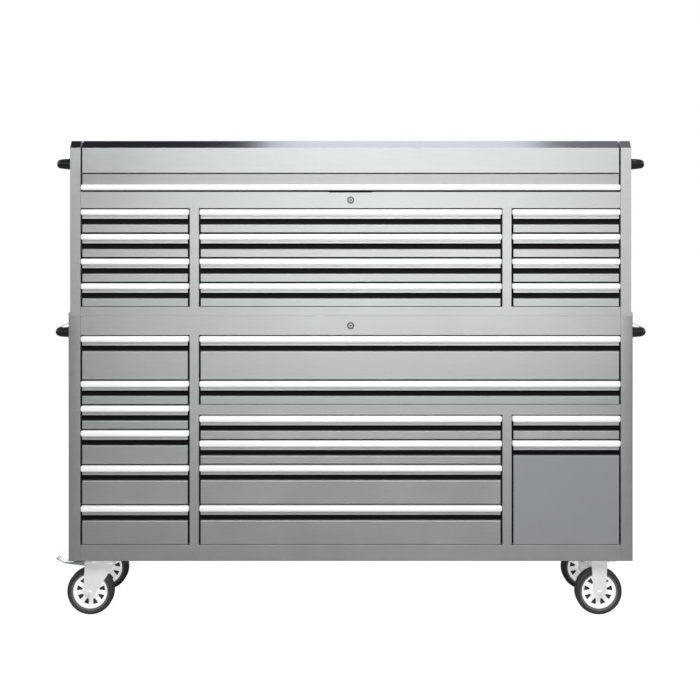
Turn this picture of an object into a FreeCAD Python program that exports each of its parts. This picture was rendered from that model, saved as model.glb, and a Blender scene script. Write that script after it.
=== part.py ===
"""Rolling tool chest: a roller cabinet on four casters with a lidded top chest standing on it.

Millimetres, +Z up. The origin is on the floor under the middle of the chest, and the drawers open
towards -Y. Every size is a cell of the sheet "dim", and every place is an expression of those cells.
"""

import FreeCAD, Part
import math
import os
import re
import Sketcher

doc = FreeCAD.newDocument("tool_chest")
sheet = doc.addObject("Spreadsheet::Sheet", "dim")

SIZES = [
    # overall
    ("cabinet_width", 1829, "width of the roller cabinet over its side panels"),
    ("body_depth", 457, "front plane of the frame to the back panel"),
    ("fork_room", 38.1, "top of the wheels to the underside of the cabinet"),
    # front frame
    ("cabinet_stile", 38.5, "width of the cabinet's corner stiles"),
    ("bottom_rail", 52, "height of the cabinet's bottom rail"),
    ("top_rail", 61, "height of the cabinet's top rail"),
    ("opening_height", 680.5, "height of the cabinet's drawer opening"),
    ("partition_width", 30, "width of the stiles between drawer columns"),
    ("side_column", 354, "opening width of the left and right columns"),
    ("divider_rail", 33, "rail under the two wide drawers"),
    ("frame_depth", 20, "depth of the folded returns of stiles and rails"),
    ("sheet_steel", 1.5, "thickness of panels and folded frame members"),
    # drawer rows
    ("deep_row", 145.5, "top row of the cabinet"),
    ("shallow_row", 80, "shallow rows"),
    ("medium_row", 114, "fourth row of the left column"),
    ("tall_row", 130, "tall rows low in the cabinet"),
    # drawers
    ("pull_projection", 13, "how far a pull's nose stands in front of the frame"),
    ("pull_height", 18, "height of a pull's nose"),
    ("pull_chamfer", 5, "rounding of the nose"),
    ("lip_height", 15, "height of the grip lip under the nose"),
    ("recess_height", 15, "height of the finger recess under the lip"),
    ("front_depth", 12, "depth of the recess and of the folded drawer face"),
    ("row_gap_above", 4, "gap over a drawer's nose"),
    ("row_gap_below", 1.8, "gap under a drawer's face"),
    ("nose_gap", 2.5, "gap at each end of a nose"),
    ("face_gap", 6, "gap at each side of a face"),
    ("rear_space", 42, "room behind the drawer pans"),
    ("pan_steel", 1.2, "thickness of a drawer pan"),
    ("pan_floor_gap", 5, "underside of a pan over the bottom of its row"),
    ("pan_rim_gap", 12, "rim of a pan under the top of its row"),
    ("liner", 2, "thickness of the rubber liner"),
    ("liner_gap", 1, "play around the liner"),
    # slides
    ("slide_space", 12.7, "room for one slide beside a pan"),
    ("slide_height", 36, "height of the outer slide member"),
    ("slide_lip", 9, "width of the outer member's lips"),
    ("slide_steel", 1.8, "thickness of the outer member"),
    ("slide_play", 1.2, "play between the two members"),
    ("slide_rise", 14, "underside of a slide over the bottom of its row"),
    ("slide_short", 8, "rear end of the slides ahead of the rear of the pan"),
    ("slide_setback", 26, "front end of the outer member behind the frame's front"),
    # base and top of the cabinet
    ("base_depth", 45, "height of the base pan"),
    ("base_steel", 2.5, "thickness of the base and top pans"),
    ("corner_lip", 11, "how far the cabinet's corners rise around the chest"),
    ("corner_lip_width", 30, "length of the raised front corner"),
    ("stiffener", 30, "width and half depth of the channels under the top"),
    # top chest
    ("chest_inset", 4.5, "chest side panel inside the cabinet side panel"),
    ("chest_setback", 3, "chest front plane behind the cabinet's"),
    ("chest_bottom_rail", 30, "height of the chest's bottom rail"),
    ("chest_row", 80, "height of each of the four chest rows"),
    ("chest_top_rail", 53, "height of the rail that holds the chest lock"),
    ("till_wall", 34, "till's inner front wall behind the chest's front plane"),
    ("lid_height", 166, "top rail to the top of the lid"),
    ("chamfer_height", 23.5, "height of the lid's front chamfer"),
    ("chamfer_depth", 25, "depth of the lid's front chamfer"),
    # lid
    ("lid_gap", 5.5, "gap around the lid"),
    ("lid_strip", 29, "strip over the lid's nose"),
    ("lid_seam", 5, "groove between the strip and the lid's face"),
    ("lid_skirt", 40, "depth of the lid's side skirts"),
    ("hinge_inset", 4.5, "hinge axis inside the back and the top"),
    ("hinge_radius", 4, "outside radius of the hinge knuckles"),
    ("hinge_pin", 1.5, "radius of the hinge pin"),
    ("hinge_leaf", 1.2, "thickness of the hinge leaves"),
    ("hinge_leaf_width", 30, "width of the hinge leaves"),
    ("hinge_clearance", 0.7, "room around the knuckles"),
    # lid struts
    ("strut_inset", 31, "strut's centre plane inside the drawer opening's side"),
    ("strut_radius", 9, "radius of the gas cylinder"),
    ("strut_rod_radius", 4, "radius of the piston rod"),
    ("strut_body", 102, "chest pivot to the end of the cylinder"),
    ("strut_rod", 115, "length of the piston rod"),
    ("strut_low_back", 22.3, "chest pivot in front of the hinge axis"),
    ("strut_low_drop", 113, "chest pivot below the hinge axis"),
    ("strut_high_back", 115, "lid pivot in front of the hinge axis"),
    ("strut_high_drop", 21.3, "lid pivot below the hinge axis"),
    ("stud_radius", 4, "radius of the strut studs"),
    ("running_fit", 0.05, "radial clearance of pins and shafts"),
    # locks
    ("lock_ring", 11.5, "radius of the lock's ring"),
    ("lock_barrel", 9.5, "radius of the lock's barrel"),
    ("lock_plug", 7, "radius of the turning plug"),
    ("lock_ring_stand", 3, "how far the ring stands out of the rail"),
    ("lock_length", 24, "length of the barrel behind the rail's front"),
    ("cam_radius", 12, "distance of the cam's pin from the plug's axis"),
    ("cam_pin", 2.5, "radius of the cam's pin"),
    ("cam_thickness", 2, "thickness of the cam"),
    ("cam_play", 0.6, "play between the cam's pin and the bar's slot"),
    ("bar_length", 600, "length of the lock bar"),
    ("bar_height", 36, "height of the lock bar"),
    ("bar_thickness", 3, "thickness of the lock bar"),
    ("bar_play", 0.5, "play between the lock bar and its guides"),
    ("guide_width", 20, "width of a guide"),
    ("guide_spacing", 420, "distance between a bar's two guides"),
    # side handles
    ("handle_radius", 15, "radius of the handle's tube"),
    ("handle_stand", 57, "how far a handle stands out of the side panel"),
    ("handle_length", 380, "front to back over a handle"),
    ("handle_bend", 24, "bend radius of a handle's corners"),
    ("handle_foot", 19, "radius of a handle's leg at the panel"),
    ("chest_handle_height", 495, "chest handle above the chest's underside"),
    ("cabinet_handle_drop", 56, "cabinet handle below the cabinet's top"),
    # casters
    ("wheel_radius", 76.2, "wheel radius"),
    ("wheel_width", 46, "tread width"),
    ("rim_radius", 56, "outside radius of the rim"),
    ("rim_barrel", 3, "thickness of the rim's barrel"),
    ("rim_web", 12, "thickness of the rim's web"),
    ("hub_radius", 17, "radius of the hub"),
    ("hub_width", 54, "length of the hub"),
    ("axle_radius", 6, "radius of the axle bolt"),
    ("window_low", 28, "inner radius of the rim's windows"),
    ("window_high", 47, "outer radius of the rim's windows"),
    ("window_half_low", 2.5, "half width of a window at its inner end"),
    ("window_half_high", 9.5, "half width of a window at its outer end"),
    ("fork_inside", 58, "distance between a fork's legs"),
    ("fork_steel", 4, "thickness of a fork's legs"),
    ("caster_trail", 40, "wheel centre behind the swivel axis"),
    ("swivel_inset", 100, "swivel axis inside the cabinet's side"),
    ("rigid_inset", 100, "rigid caster inside the cabinet's side"),
    ("caster_setback", 76, "wheel centre behind the front and ahead of the back"),
    ("plate_thickness", 6, "thickness of the caster's top plate"),
    ("plate_length", 114, "top plate along the cabinet's width"),
    ("plate_width", 102, "top plate along the cabinet's depth"),
    ("head_radius", 38, "radius of the swivel head"),
    ("head_height", 16, "height of the swivel head"),
    ("kingpin", 8, "radius of the kingpin"),
    ("bolt_head", 8, "corner radius of the hexagon bolt heads"),
    ("bolt_inset", 12, "bolts inside the edges of the top plate"),
    ("pedal_reach", 150, "swivel axis to the tip of the brake pedal"),
    ("pedal_pivot", 50, "swivel axis to the brake pedal's pin"),
    ("pedal_drop", 24, "pedal's pin below the cabinet"),
    ("pedal_width", 40, "width of the brake pedal"),
    ("pedal_pin", 3, "radius of the pedal's pin"),
    ("pedal_rise", 20, "tip of the pedal above its pin"),
    ("pedal_thick", 4, "thickness of the pedal's plate"),
    ("leg_foot", 20, "half width of a fork leg at the axle"),
    ("leg_shoulder", 25.5, "half width of a rigid fork at its top"),
    ("leg_nut", 8, "how far the axle bolt stands out of the legs"),
    ("crown_thickness", 6, "thickness of a fork's crown"),
    ("swivel_gap", 1, "gap between the swivel head and the top plate"),
]

for row, (alias, number, note) in enumerate(SIZES, start=1):
    sheet.set(f"A{row}", alias)
    sheet.set(f"B{row}", str(number))
    sheet.set(f"C{row}", note)
    sheet.setAlias(f"B{row}", alias)
doc.recompute()

NAMES = {alias for alias, number, note in SIZES}
X, Y, Z = "x", "y", "z"
EDGES = {X: "Length", Y: "Width", Z: "Height"}
TURN = {
    X: FreeCAD.Rotation(FreeCAD.Vector(0, 1, 0), 90),
    Y: FreeCAD.Rotation(FreeCAD.Vector(1, 0, 0), -90),
    Z: FreeCAD.Rotation(),
}


# ---------------------------------------------------------------- helpers

def bind(thing, prop, text):
    """Bind a property to an expression written with the sheet's own names."""
    thing.setExpression(prop, re.sub(r"[a-z][a-z_]*", lambda m: named(m.group()), text))


def named(word):
    return f"dim.{word}" if word in NAMES else word


def plus(*terms):
    return " + ".join(f"({term})" for term in terms)


def less(first, *rest):
    return " - ".join(f"({term})" for term in (first, *rest))


def block(name, x, y, z):
    """Rectangular block between a low and a high bound on each axis."""
    solid = doc.addObject("Part::Box", name)
    for axis, (low, high) in ((X, x), (Y, y), (Z, z)):
        bind(solid, EDGES[axis], less(high, low))
        bind(solid, f"Placement.Base.{axis}", low)
    return solid


def rod(name, axis, radius, centre, low, high):
    """Round bar along one axis; centre gives its other two coordinates in x, y, z order."""
    solid = doc.addObject("Part::Cylinder", name)
    solid.Placement = FreeCAD.Placement(FreeCAD.Vector(), TURN[axis])
    bind(solid, "Radius", radius)
    bind(solid, "Height", less(high, low))
    bind(solid, f"Placement.Base.{axis}", low)
    for other, place in zip([a for a in (X, Y, Z) if a != axis], centre):
        bind(solid, f"Placement.Base.{other}", place)
    return solid


def cut(name, base, *tools):
    """Base with every tool taken away."""
    for number, tool in enumerate(tools, start=1):
        result = doc.addObject("Part::Cut", f"{name}_cut_{number}")
        result.Base, result.Tool = base, tool
        base = result
    return base


def fuse(name, *solids):
    result = doc.addObject("Part::MultiFuse", name)
    result.Shapes = list(solids)
    result.Refine = True
    return result


def folded(name, x, y, z, wall, open_side):
    """Sheet-metal box with one side open: a block hollowed from that side."""
    inner = []
    for axis, (low, high) in ((X, x), (Y, y), (Z, z)):
        low = low if open_side == "-" + axis else plus(low, wall)
        high = high if open_side == "+" + axis else less(high, wall)
        inner.append((low, high))
    return cut(name, block(name + "_outside", x, y, z), block(name + "_inside", *inner))


def outline_sketch(body, name, role, outline):
    """Closed straight-sided sketch whose corners are held by expressions."""
    sketch = body.newObject("Sketcher::SketchObject", name)
    plane = next(f for f in body.Origin.OriginFeatures if f.Role == role)
    sketch.AttachmentSupport = [(plane, "")]
    sketch.MapMode = "FlatFace"
    count = len(outline)
    ring = [FreeCAD.Vector(50 * math.cos(2 * math.pi * i / count), 50 * math.sin(2 * math.pi * i / count), 0)
            for i in range(count)]
    for i in range(count):
        sketch.addGeometry(Part.LineSegment(ring[i], ring[(i + 1) % count]), False)
    for i in range(count):
        sketch.addConstraint(Sketcher.Constraint("Coincident", i, 2, (i + 1) % count, 1))
    for i, corner in enumerate(outline):
        for kind, start, place in zip(("DistanceX", "DistanceY"), (ring[i].x, ring[i].y), corner):
            held = sketch.addConstraint(Sketcher.Constraint(kind, -1, 1, i, 1, start))
            bind(sketch, f"Constraints[{held}]", place)
    return sketch


PLANE = {X: "YZ_Plane", Y: "XZ_Plane", Z: "XY_Plane"}


def extrusion(name, axis, outline, low, high, base=("0", "0", "0")):
    """Outline in the plane across an axis, padded from low to high along that axis.

    The outline gives the other two coordinates in x, y, z order, counted from base.
    """
    body = doc.addObject("PartDesign::Body", name)
    sketch = outline_sketch(body, name + "_outline", PLANE[axis], outline)
    pad = body.newObject("PartDesign::Pad", name + "_pad")
    pad.Profile = sketch
    pad.Reversed = axis == Y
    bind(pad, "Length", less(high, low))
    for other, place in zip((X, Y, Z), base):
        bind(body, f"Placement.Base.{other}", low if other == axis else place)
    return body


parts = []


def part(name, *solids):
    """One named sub-part, made of one solid or of several separate ones."""
    result = doc.addObject("Part::Compound", name)
    result.Links = list(solids)
    result.Label = name
    parts.append(result)
    return result


# ---------------------------------------------------------------- places

FRONT = "(pull_projection - body_depth) / 2"
BACK = "(pull_projection + body_depth) / 2"
HALF = "cabinet_width / 2"
OPENING = less(HALF, "cabinet_stile")
COLUMN = less(OPENING, "side_column")
MIDDLE = less(COLUMN, "partition_width")
FRAME_BACK = plus(FRONT, "frame_depth")

CABINET_LOW = "2 * wheel_radius + fork_room"
CABINET_OPENING_LOW = plus(CABINET_LOW, "bottom_rail")
CABINET_OPENING_HIGH = plus(CABINET_OPENING_LOW, "opening_height")
CABINET_HIGH = plus(CABINET_OPENING_HIGH, "top_rail")
DIVIDER_HIGH = less(CABINET_OPENING_HIGH, "deep_row", "shallow_row")
DIVIDER_LOW = less(DIVIDER_HIGH, "divider_rail")

CHEST_FRONT = plus(FRONT, "chest_setback")
CHEST_FRAME_BACK = plus(CHEST_FRONT, "frame_depth")
CHEST_HALF = less(HALF, "chest_inset")
CHEST_LOW = CABINET_HIGH
CHEST_OPENING_LOW = plus(CHEST_LOW, "chest_bottom_rail")
CHEST_OPENING_HIGH = plus(CHEST_OPENING_LOW, "4 * chest_row")
RAIL_HIGH = plus(CHEST_OPENING_HIGH, "chest_top_rail")
TOP = plus(RAIL_HIGH, "lid_height")
TILL_FLOOR = plus(CHEST_OPENING_HIGH, "sheet_steel")
CHAMFER_LOW = less(TOP, "chamfer_height")
CHAMFER_BACK = plus(CHEST_FRONT, "chamfer_depth")
CHEST_STILE_HIGH = less(CHAMFER_LOW, "sheet_steel")
BASE_HIGH = plus(CABINET_LOW, "base_depth")


def minus(place):
    return f"-({place})"


def mirrored(low, high, side):
    """The bounds as given on the +X side, and turned about X = 0 on the -X side."""
    return (low, high) if side > 0 else (minus(high), minus(low))


SIDES = (("left", -1), ("right", 1))


# ---------------------------------------------------------------- cabinet body

def side_panels(name, half, front, low, high):
    deep = (front, BACK)
    return [
        block(f"{name}_{side}_side", mirrored(less(half, "sheet_steel"), half, sign), deep, (low, high))
        for side, sign in SIDES
    ]


def make_cabinet_shell():
    inside = less(HALF, "sheet_steel")
    back_inside = less(BACK, "sheet_steel")
    raised = plus(CABINET_HIGH, "corner_lip")
    sides = side_panels("cabinet", HALF, FRAME_BACK, CABINET_LOW, raised)
    back = block("cabinet_back", (minus(inside), inside), (back_inside, BACK), (CABINET_LOW, CABINET_HIGH))
    base = folded(
        "cabinet_base", (minus(inside), inside), (FRAME_BACK, back_inside),
        (CABINET_LOW, BASE_HIGH), "base_steel", "+z",
    )
    part("cabinet_shell", *sides, back, base)


def make_cabinet_top():
    inside = less(HALF, "sheet_steel")
    deep = (FRAME_BACK, less(BACK, "sheet_steel"))
    under = less(CABINET_HIGH, "base_steel")
    top = block("cabinet_top_pan", (minus(inside), inside), deep, (under, CABINET_HIGH))
    channels = []
    for number, middle in enumerate((minus(COLUMN), "0", COLUMN), start=1):
        channels.append(folded(
            f"cabinet_top_channel_{number}",
            (less(middle, "stiffener / 2"), plus(middle, "stiffener / 2")),
            (plus(FRAME_BACK, "2 * stiffener"), less(BACK, "sheet_steel")),
            (less(under, "stiffener / 2"), under), "sheet_steel", "+z",
        ))
    part("cabinet_top", top, *channels)


def make_front_frame(name, half, front, low, opening_low, opening_high, top_high, side_high):
    """Two corner stiles, bottom and top rails; the top rail is drilled for its lock."""
    deep = (front, plus(front, "frame_depth"))
    solids = []
    for side, sign in SIDES:
        across = mirrored(OPENING, half, sign)
        solids.append(folded(f"{name}_{side}_stile", across, deep, (low, side_high), "sheet_steel", "+y"))
    across = (minus(OPENING), OPENING)
    solids.append(folded(f"{name}_bottom_rail", across, deep, (low, opening_low), "sheet_steel", "+y"))
    top = folded(f"{name}_top_rail", across, deep, (opening_high, top_high), "sheet_steel", "+y")
    hole = rod(f"{name}_lock_hole", Y, "lock_barrel", ("0", middle_of(opening_high, top_high)), *deep)
    solids.append(cut(f"{name}_top_rail_drilled", top, hole))
    return solids


def middle_of(low, high):
    return f"(({low}) + ({high})) / 2"


def partition_stile(name, side, sign, front, low, high):
    deep = (front, plus(front, "frame_depth"))
    return folded(f"{name}_{side}_partition_stile", mirrored(MIDDLE, COLUMN, sign), deep, (low, high),
                  "sheet_steel", "+y")


def make_cabinet_front_frame():
    solids = make_front_frame("cabinet", HALF, FRONT, CABINET_LOW, CABINET_OPENING_LOW, CABINET_OPENING_HIGH,
                              CABINET_HIGH, CABINET_HIGH)
    raised = (CABINET_HIGH, plus(CABINET_HIGH, "corner_lip"))
    for side, sign in SIDES:
        solids.append(block(
            f"cabinet_{side}_corner_lip", mirrored(less(HALF, "corner_lip_width"), HALF, sign),
            (FRONT, plus(FRONT, "sheet_steel")), raised))
    solids.append(partition_stile("cabinet", "left", -1, FRONT, CABINET_OPENING_LOW, CABINET_OPENING_HIGH))
    solids.append(partition_stile("cabinet", "right", 1, FRONT, CABINET_OPENING_LOW, DIVIDER_LOW))
    solids.append(folded("cabinet_divider_rail", (minus(MIDDLE), OPENING), (FRONT, FRAME_BACK),
                         (DIVIDER_LOW, DIVIDER_HIGH), "sheet_steel", "+y"))
    part("cabinet_front_frame", *solids)


def wall_pair(name, side, sign, deep, tall):
    """The two sheets of a partition, one against each column."""
    return [
        block(f"{name}_{side}_partition_{label}", mirrored(low, high, sign), deep, tall)
        for label, low, high in (
            ("inner", MIDDLE, plus(MIDDLE, "sheet_steel")),
            ("outer", less(COLUMN, "sheet_steel"), COLUMN),
        )
    ]


def side_liners(name, deep, tall):
    """Sheets inside the side walls that carry the outermost slides."""
    return [
        block(f"{name}_{side}_liner", mirrored(OPENING, plus(OPENING, "sheet_steel"), sign), deep, tall)
        for side, sign in SIDES
    ]


def make_cabinet_partitions():
    deep = (FRAME_BACK, less(BACK, "sheet_steel"))
    full = (BASE_HIGH, CABINET_OPENING_HIGH)
    solids = wall_pair("cabinet", "left", -1, deep, full)
    solids += wall_pair("cabinet", "right", 1, deep, (BASE_HIGH, DIVIDER_LOW))
    solids += side_liners("cabinet", deep, full)
    part("cabinet_partitions", *solids)


# ---------------------------------------------------------------- top chest

def make_chest_shell():
    """Side walls with the chamfered upper front corner, the back, and the floor."""
    wall = [
        (CHEST_FRAME_BACK, CHEST_LOW),
        (BACK, CHEST_LOW),
        (BACK, TOP),
        (CHAMFER_BACK, TOP),
        (CHEST_FRONT, CHAMFER_LOW),
        (CHEST_FRONT, CHEST_STILE_HIGH),
        (CHEST_FRAME_BACK, CHEST_STILE_HIGH),
    ]
    slope = [
        (CHEST_FRONT, CHAMFER_LOW),
        (CHEST_FRONT, CHEST_STILE_HIGH),
        (CHAMFER_BACK, less(TOP, "sheet_steel")),
        (CHAMFER_BACK, TOP),
    ]
    inside = less(CHEST_HALF, "sheet_steel")
    back_inside = less(BACK, "sheet_steel")
    solids = []
    for side, sign in SIDES:
        solids.append(extrusion(f"chest_{side}_side", X, wall, *mirrored(inside, CHEST_HALF, sign)))
        rim = mirrored(OPENING, inside, sign)
        solids.append(extrusion(f"chest_{side}_chamfer", X, slope, *rim))
        solids.append(block(f"chest_{side}_rim", rim, (CHAMFER_BACK, BACK), (less(TOP, "sheet_steel"), TOP)))
    under_hinge = less(TOP, "hinge_inset", "hinge_radius", "hinge_clearance")
    beside_hinge = less(TOP, "sheet_steel")
    back = [
        (minus(inside), CHEST_LOW),
        (inside, CHEST_LOW),
        (inside, beside_hinge),
        (OPENING, beside_hinge),
        (OPENING, under_hinge),
        (minus(OPENING), under_hinge),
        (minus(OPENING), beside_hinge),
        (minus(inside), beside_hinge),
    ]
    solids.append(extrusion("chest_back", Y, back, back_inside, BACK))
    solids.append(folded(
        "chest_floor", (minus(inside), inside), (CHEST_FRAME_BACK, back_inside),
        (CHEST_LOW, CHEST_OPENING_LOW), "sheet_steel", "+z"))
    part("chest_shell", *solids)


def make_chest_deck():
    """Till floor over the drawers, with the wall and cap that close the lock bar's channel."""
    deep = (CHEST_FRAME_BACK, less(BACK, "sheet_steel"))
    across = (minus(OPENING), OPENING)
    wall = (plus(CHEST_FRONT, "till_wall"), plus(CHEST_FRONT, "till_wall", "sheet_steel"))
    floor = block("till_floor", across, deep, (CHEST_OPENING_HIGH, TILL_FLOOR))
    front = block("till_front", across, wall, (TILL_FLOOR, RAIL_HIGH))
    cap = block("till_cap", across, (CHEST_FRAME_BACK, wall[0]), (less(RAIL_HIGH, "sheet_steel"), RAIL_HIGH))
    part("chest_deck", floor, front, cap)


def make_chest_front_frame():
    solids = make_front_frame("chest", CHEST_HALF, CHEST_FRONT, CHEST_LOW, CHEST_OPENING_LOW,
                              CHEST_OPENING_HIGH, RAIL_HIGH, CHEST_STILE_HIGH)
    tall = (CHEST_OPENING_LOW, CHEST_OPENING_HIGH)
    for side, sign in SIDES:
        solids.append(partition_stile("chest", side, sign, CHEST_FRONT, *tall))
    part("chest_front_frame", *solids)


def make_chest_partitions():
    deep = (CHEST_FRAME_BACK, less(BACK, "sheet_steel"))
    tall = (CHEST_OPENING_LOW, CHEST_OPENING_HIGH)
    solids = []
    for side, sign in SIDES:
        solids += wall_pair("chest", side, sign, deep, tall)
    solids += side_liners("chest", (CHAMFER_BACK, deep[1]), (CHEST_OPENING_LOW, less(TOP, "sheet_steel")))
    part("chest_partitions", *solids, *chest_studs())


# ---------------------------------------------------------------- lid

HINGE_Y = less(BACK, "hinge_inset")
HINGE_Z = less(TOP, "hinge_inset")
LID_HALF = less(OPENING, "lid_gap")
LID_LOW = plus(RAIL_HIGH, "lid_gap")
LID_STRIP_LOW = plus(LID_LOW, "pull_height")
LID_STRIP_HIGH = plus(LID_STRIP_LOW, "lid_strip")
LID_FACE_LOW = plus(LID_STRIP_HIGH, "lid_seam")
LID_BACK = less(HINGE_Y, "hinge_radius", "hinge_clearance")
KNUCKLES = 9


def make_lid():
    """Folded lid, its hinge leaf and knuckles, and the studs that the struts hang on."""
    skirt_low = less(TOP, "lid_skirt")
    skirt_front = plus(CHEST_FRONT, "lid_skirt")
    outside = [
        (CHEST_FRONT, LID_FACE_LOW),
        (CHEST_FRONT, CHAMFER_LOW),
        (CHAMFER_BACK, TOP),
        (LID_BACK, TOP),
        (LID_BACK, skirt_low),
        (skirt_front, skirt_low),
        (plus(CHEST_FRONT, "2 * sheet_steel"), LID_FACE_LOW),
    ]
    inner_front = plus(CHEST_FRONT, "sheet_steel")
    beyond = "lid_skirt"
    inside = [
        (inner_front, less(LID_FACE_LOW, beyond)),
        (inner_front, less(CHAMFER_LOW, "sheet_steel / 2")),
        (plus(CHAMFER_BACK, "sheet_steel / 2"), less(TOP, "sheet_steel")),
        (plus(LID_BACK, beyond), less(TOP, "sheet_steel")),
        (plus(LID_BACK, beyond), less(LID_FACE_LOW, beyond)),
    ]
    within = less(LID_HALF, "sheet_steel")
    shell = cut(
        "lid_shell",
        extrusion("lid_outside", X, outside, minus(LID_HALF), LID_HALF),
        extrusion("lid_inside", X, inside, minus(within), within),
    )
    under = less(TOP, "sheet_steel")
    leaf = block("lid_leaf", (minus(within), within), (less(LID_BACK, "hinge_leaf_width"), LID_BACK),
                 (less(under, "hinge_leaf"), under))
    solids = [shell, hinge_side("lid_knuckles", leaf, "moving")]
    for side, sign in SIDES:
        stud = mirrored(plus(STRUT_PLANE, "strut_radius", "hinge_clearance"), within, sign)
        solids.append(rod(f"lid_{side}_stud", X, "stud_radius", STRUT_HIGH, *stud))
    part("lid", *solids)


def knuckle_bounds(number):
    """Ends of one knuckle, counted from the left end of the hinge."""
    width = f"2 * ({less(LID_HALF, 'sheet_steel')}) / {KNUCKLES}"
    low = plus(minus(less(LID_HALF, "sheet_steel")), f"{number} * {width}")
    return plus(low, "hinge_clearance"), less(plus(low, width), "hinge_clearance")


def hinge_side(name, leaf, kind):
    """One leaf with every second knuckle, bored for the pin; fixed knuckles stand at both ends."""
    solids = [leaf]
    first = 0 if kind == "fixed" else 1
    for number in range(first, KNUCKLES, 2):
        bounds = knuckle_bounds(number)
        solids.append(rod(f"{name}_{number}", X, "hinge_radius", (HINGE_Y, HINGE_Z), *bounds))
        if kind == "fixed":
            solids.append(block(f"{name}_tab_{number}", bounds,
                                (less(BACK, "sheet_steel", "hinge_leaf"), less(BACK, "sheet_steel")),
                                (less(HINGE_Z, "hinge_radius", "hinge_clearance"), HINGE_Z)))
        else:
            solids.append(block(f"{name}_tab_{number}", bounds, (LID_BACK, HINGE_Y),
                                (less(TOP, "sheet_steel", "hinge_leaf"), less(TOP, "sheet_steel"))))
    bore = rod(f"{name}_bore", X, "hinge_pin + running_fit", (HINGE_Y, HINGE_Z), minus(OPENING), OPENING)
    return cut(f"{name}_bored", fuse(name, *solids), bore)


def make_lid_hinge():
    within = less(LID_HALF, "sheet_steel")
    leaf_high = less(HINGE_Z, "hinge_radius", "hinge_clearance")
    leaf = block("back_leaf", (minus(within), within),
                 (less(BACK, "sheet_steel", "hinge_leaf"), less(BACK, "sheet_steel")),
                 (less(leaf_high, "hinge_leaf_width"), leaf_high))
    pin = rod("hinge_pin_rod", X, "hinge_pin", (HINGE_Y, HINGE_Z), minus(within), within)
    part("lid_hinge", hinge_side("back_knuckles", leaf, "fixed"), pin)


def make_lid_pull():
    """Aluminium pull along the lid's lower edge: a rounded nose, a strip, and the flange behind the seam."""
    nose_half = less(OPENING, "nose_gap")
    nose = pull_nose("lid_nose", (minus(nose_half), nose_half), CHEST_FRONT,
                     plus(CHEST_FRONT, "2 * sheet_steel"), LID_LOW, LID_STRIP_LOW)
    strip_half = less(LID_HALF, "sheet_steel")
    middle = plus(CHEST_FRONT, "sheet_steel")
    strip = block("lid_strip_plate", (minus(strip_half), strip_half), (CHEST_FRONT, middle),
                  (LID_STRIP_LOW, LID_STRIP_HIGH))
    flange = block("lid_flange", (minus(strip_half), strip_half), (middle, plus(middle, "sheet_steel")),
                   (LID_STRIP_LOW, plus(LID_FACE_LOW, "lid_seam")))
    part("lid_pull", nose, fuse("lid_strip_and_flange", strip, flange))


def pull_nose(name, x, front, back, low, high):
    """Nose of a pull, its two front edges bevelled."""
    tip = less(front, "pull_projection")
    flank = plus(tip, "pull_chamfer")
    outline = [
        (back, low),
        (back, high),
        (flank, high),
        (tip, less(high, "pull_chamfer")),
        (tip, plus(low, "pull_chamfer")),
        (flank, low),
    ]
    return extrusion(name, X, outline, *x)


# ---------------------------------------------------------------- lid struts

STRUT_PLANE = less(OPENING, "strut_inset")
STRUT_LOW = (less(HINGE_Y, "strut_low_back"), less(HINGE_Z, "strut_low_drop"))
STRUT_HIGH = (less(HINGE_Y, "strut_high_back"), less(HINGE_Z, "strut_high_drop"))
STRUT_RUN = "(strut_high_back - strut_low_back)"
STRUT_RISE = "(strut_low_drop - strut_high_drop)"
STRUT_REST = f"sqrt({STRUT_RUN}^2 + {STRUT_RISE}^2)"
EYE = "2 * stud_radius"


def strut_bar(name, radius, plane, first, last):
    """Round bar on the strut's line, between two distances from the chest pivot."""
    solid = doc.addObject("Part::Cylinder", name)
    solid.Placement = FreeCAD.Placement(FreeCAD.Vector(), FreeCAD.Rotation(FreeCAD.Vector(1, 0, 0), 45))
    bind(solid, "Radius", radius)
    bind(solid, "Height", less(last, first))
    bind(solid, "Placement.Rotation.Angle", f"90 deg - atan2({STRUT_RISE}; {STRUT_RUN})")
    bind(solid, "Placement.Base.x", plane)
    bind(solid, "Placement.Base.y", less(STRUT_LOW[0], f"({first}) * {STRUT_RUN} / {STRUT_REST}"))
    bind(solid, "Placement.Base.z", plus(STRUT_LOW[1], f"({first}) * {STRUT_RISE} / {STRUT_REST}"))
    return solid


def strut_eye(name, plane, pivot):
    half = "strut_rod_radius + sheet_steel"
    return rod(name, X, EYE, pivot, less(plane, half), plus(plane, half))


def make_struts():
    """Gas strut each side: the cylinder turns on a stud on the chest, the rod slides out of it."""
    for side, sign in SIDES:
        plane = STRUT_PLANE if sign > 0 else minus(STRUT_PLANE)
        name = f"lid_strut_cylinder_{side}"
        barrel = fuse(
            name + "_body", strut_bar(name + "_tube", "strut_radius", plane, EYE, "strut_body"),
            strut_eye(name + "_eye", plane, STRUT_LOW))
        hollow = strut_bar(name + "_hollow", "strut_rod_radius + 2 * running_fit", plane,
                           "3 * stud_radius", "strut_body + strut_radius")
        stud_hole = rod(name + "_stud_hole", X, "stud_radius + running_fit", STRUT_LOW,
                        less(plane, "strut_radius"), plus(plane, "strut_radius"))
        part(name, cut(name, barrel, hollow, stud_hole))
        name = f"lid_strut_rod_{side}"
        part(name, fuse(
            name + "_body", strut_bar(name + "_bar", "strut_rod_radius", plane, f"{STRUT_REST} - strut_rod",
                                      STRUT_REST),
            strut_eye(name + "_eye", plane, STRUT_HIGH)))


def chest_studs():
    """Studs on the chest's side liners that the strut cylinders turn on."""
    return [
        rod(f"chest_{side}_stud", X, "stud_radius", STRUT_LOW,
            *mirrored(less(STRUT_PLANE, "strut_rod_radius"), OPENING, sign))
        for side, sign in SIDES
    ]


# ---------------------------------------------------------------- locks

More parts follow.
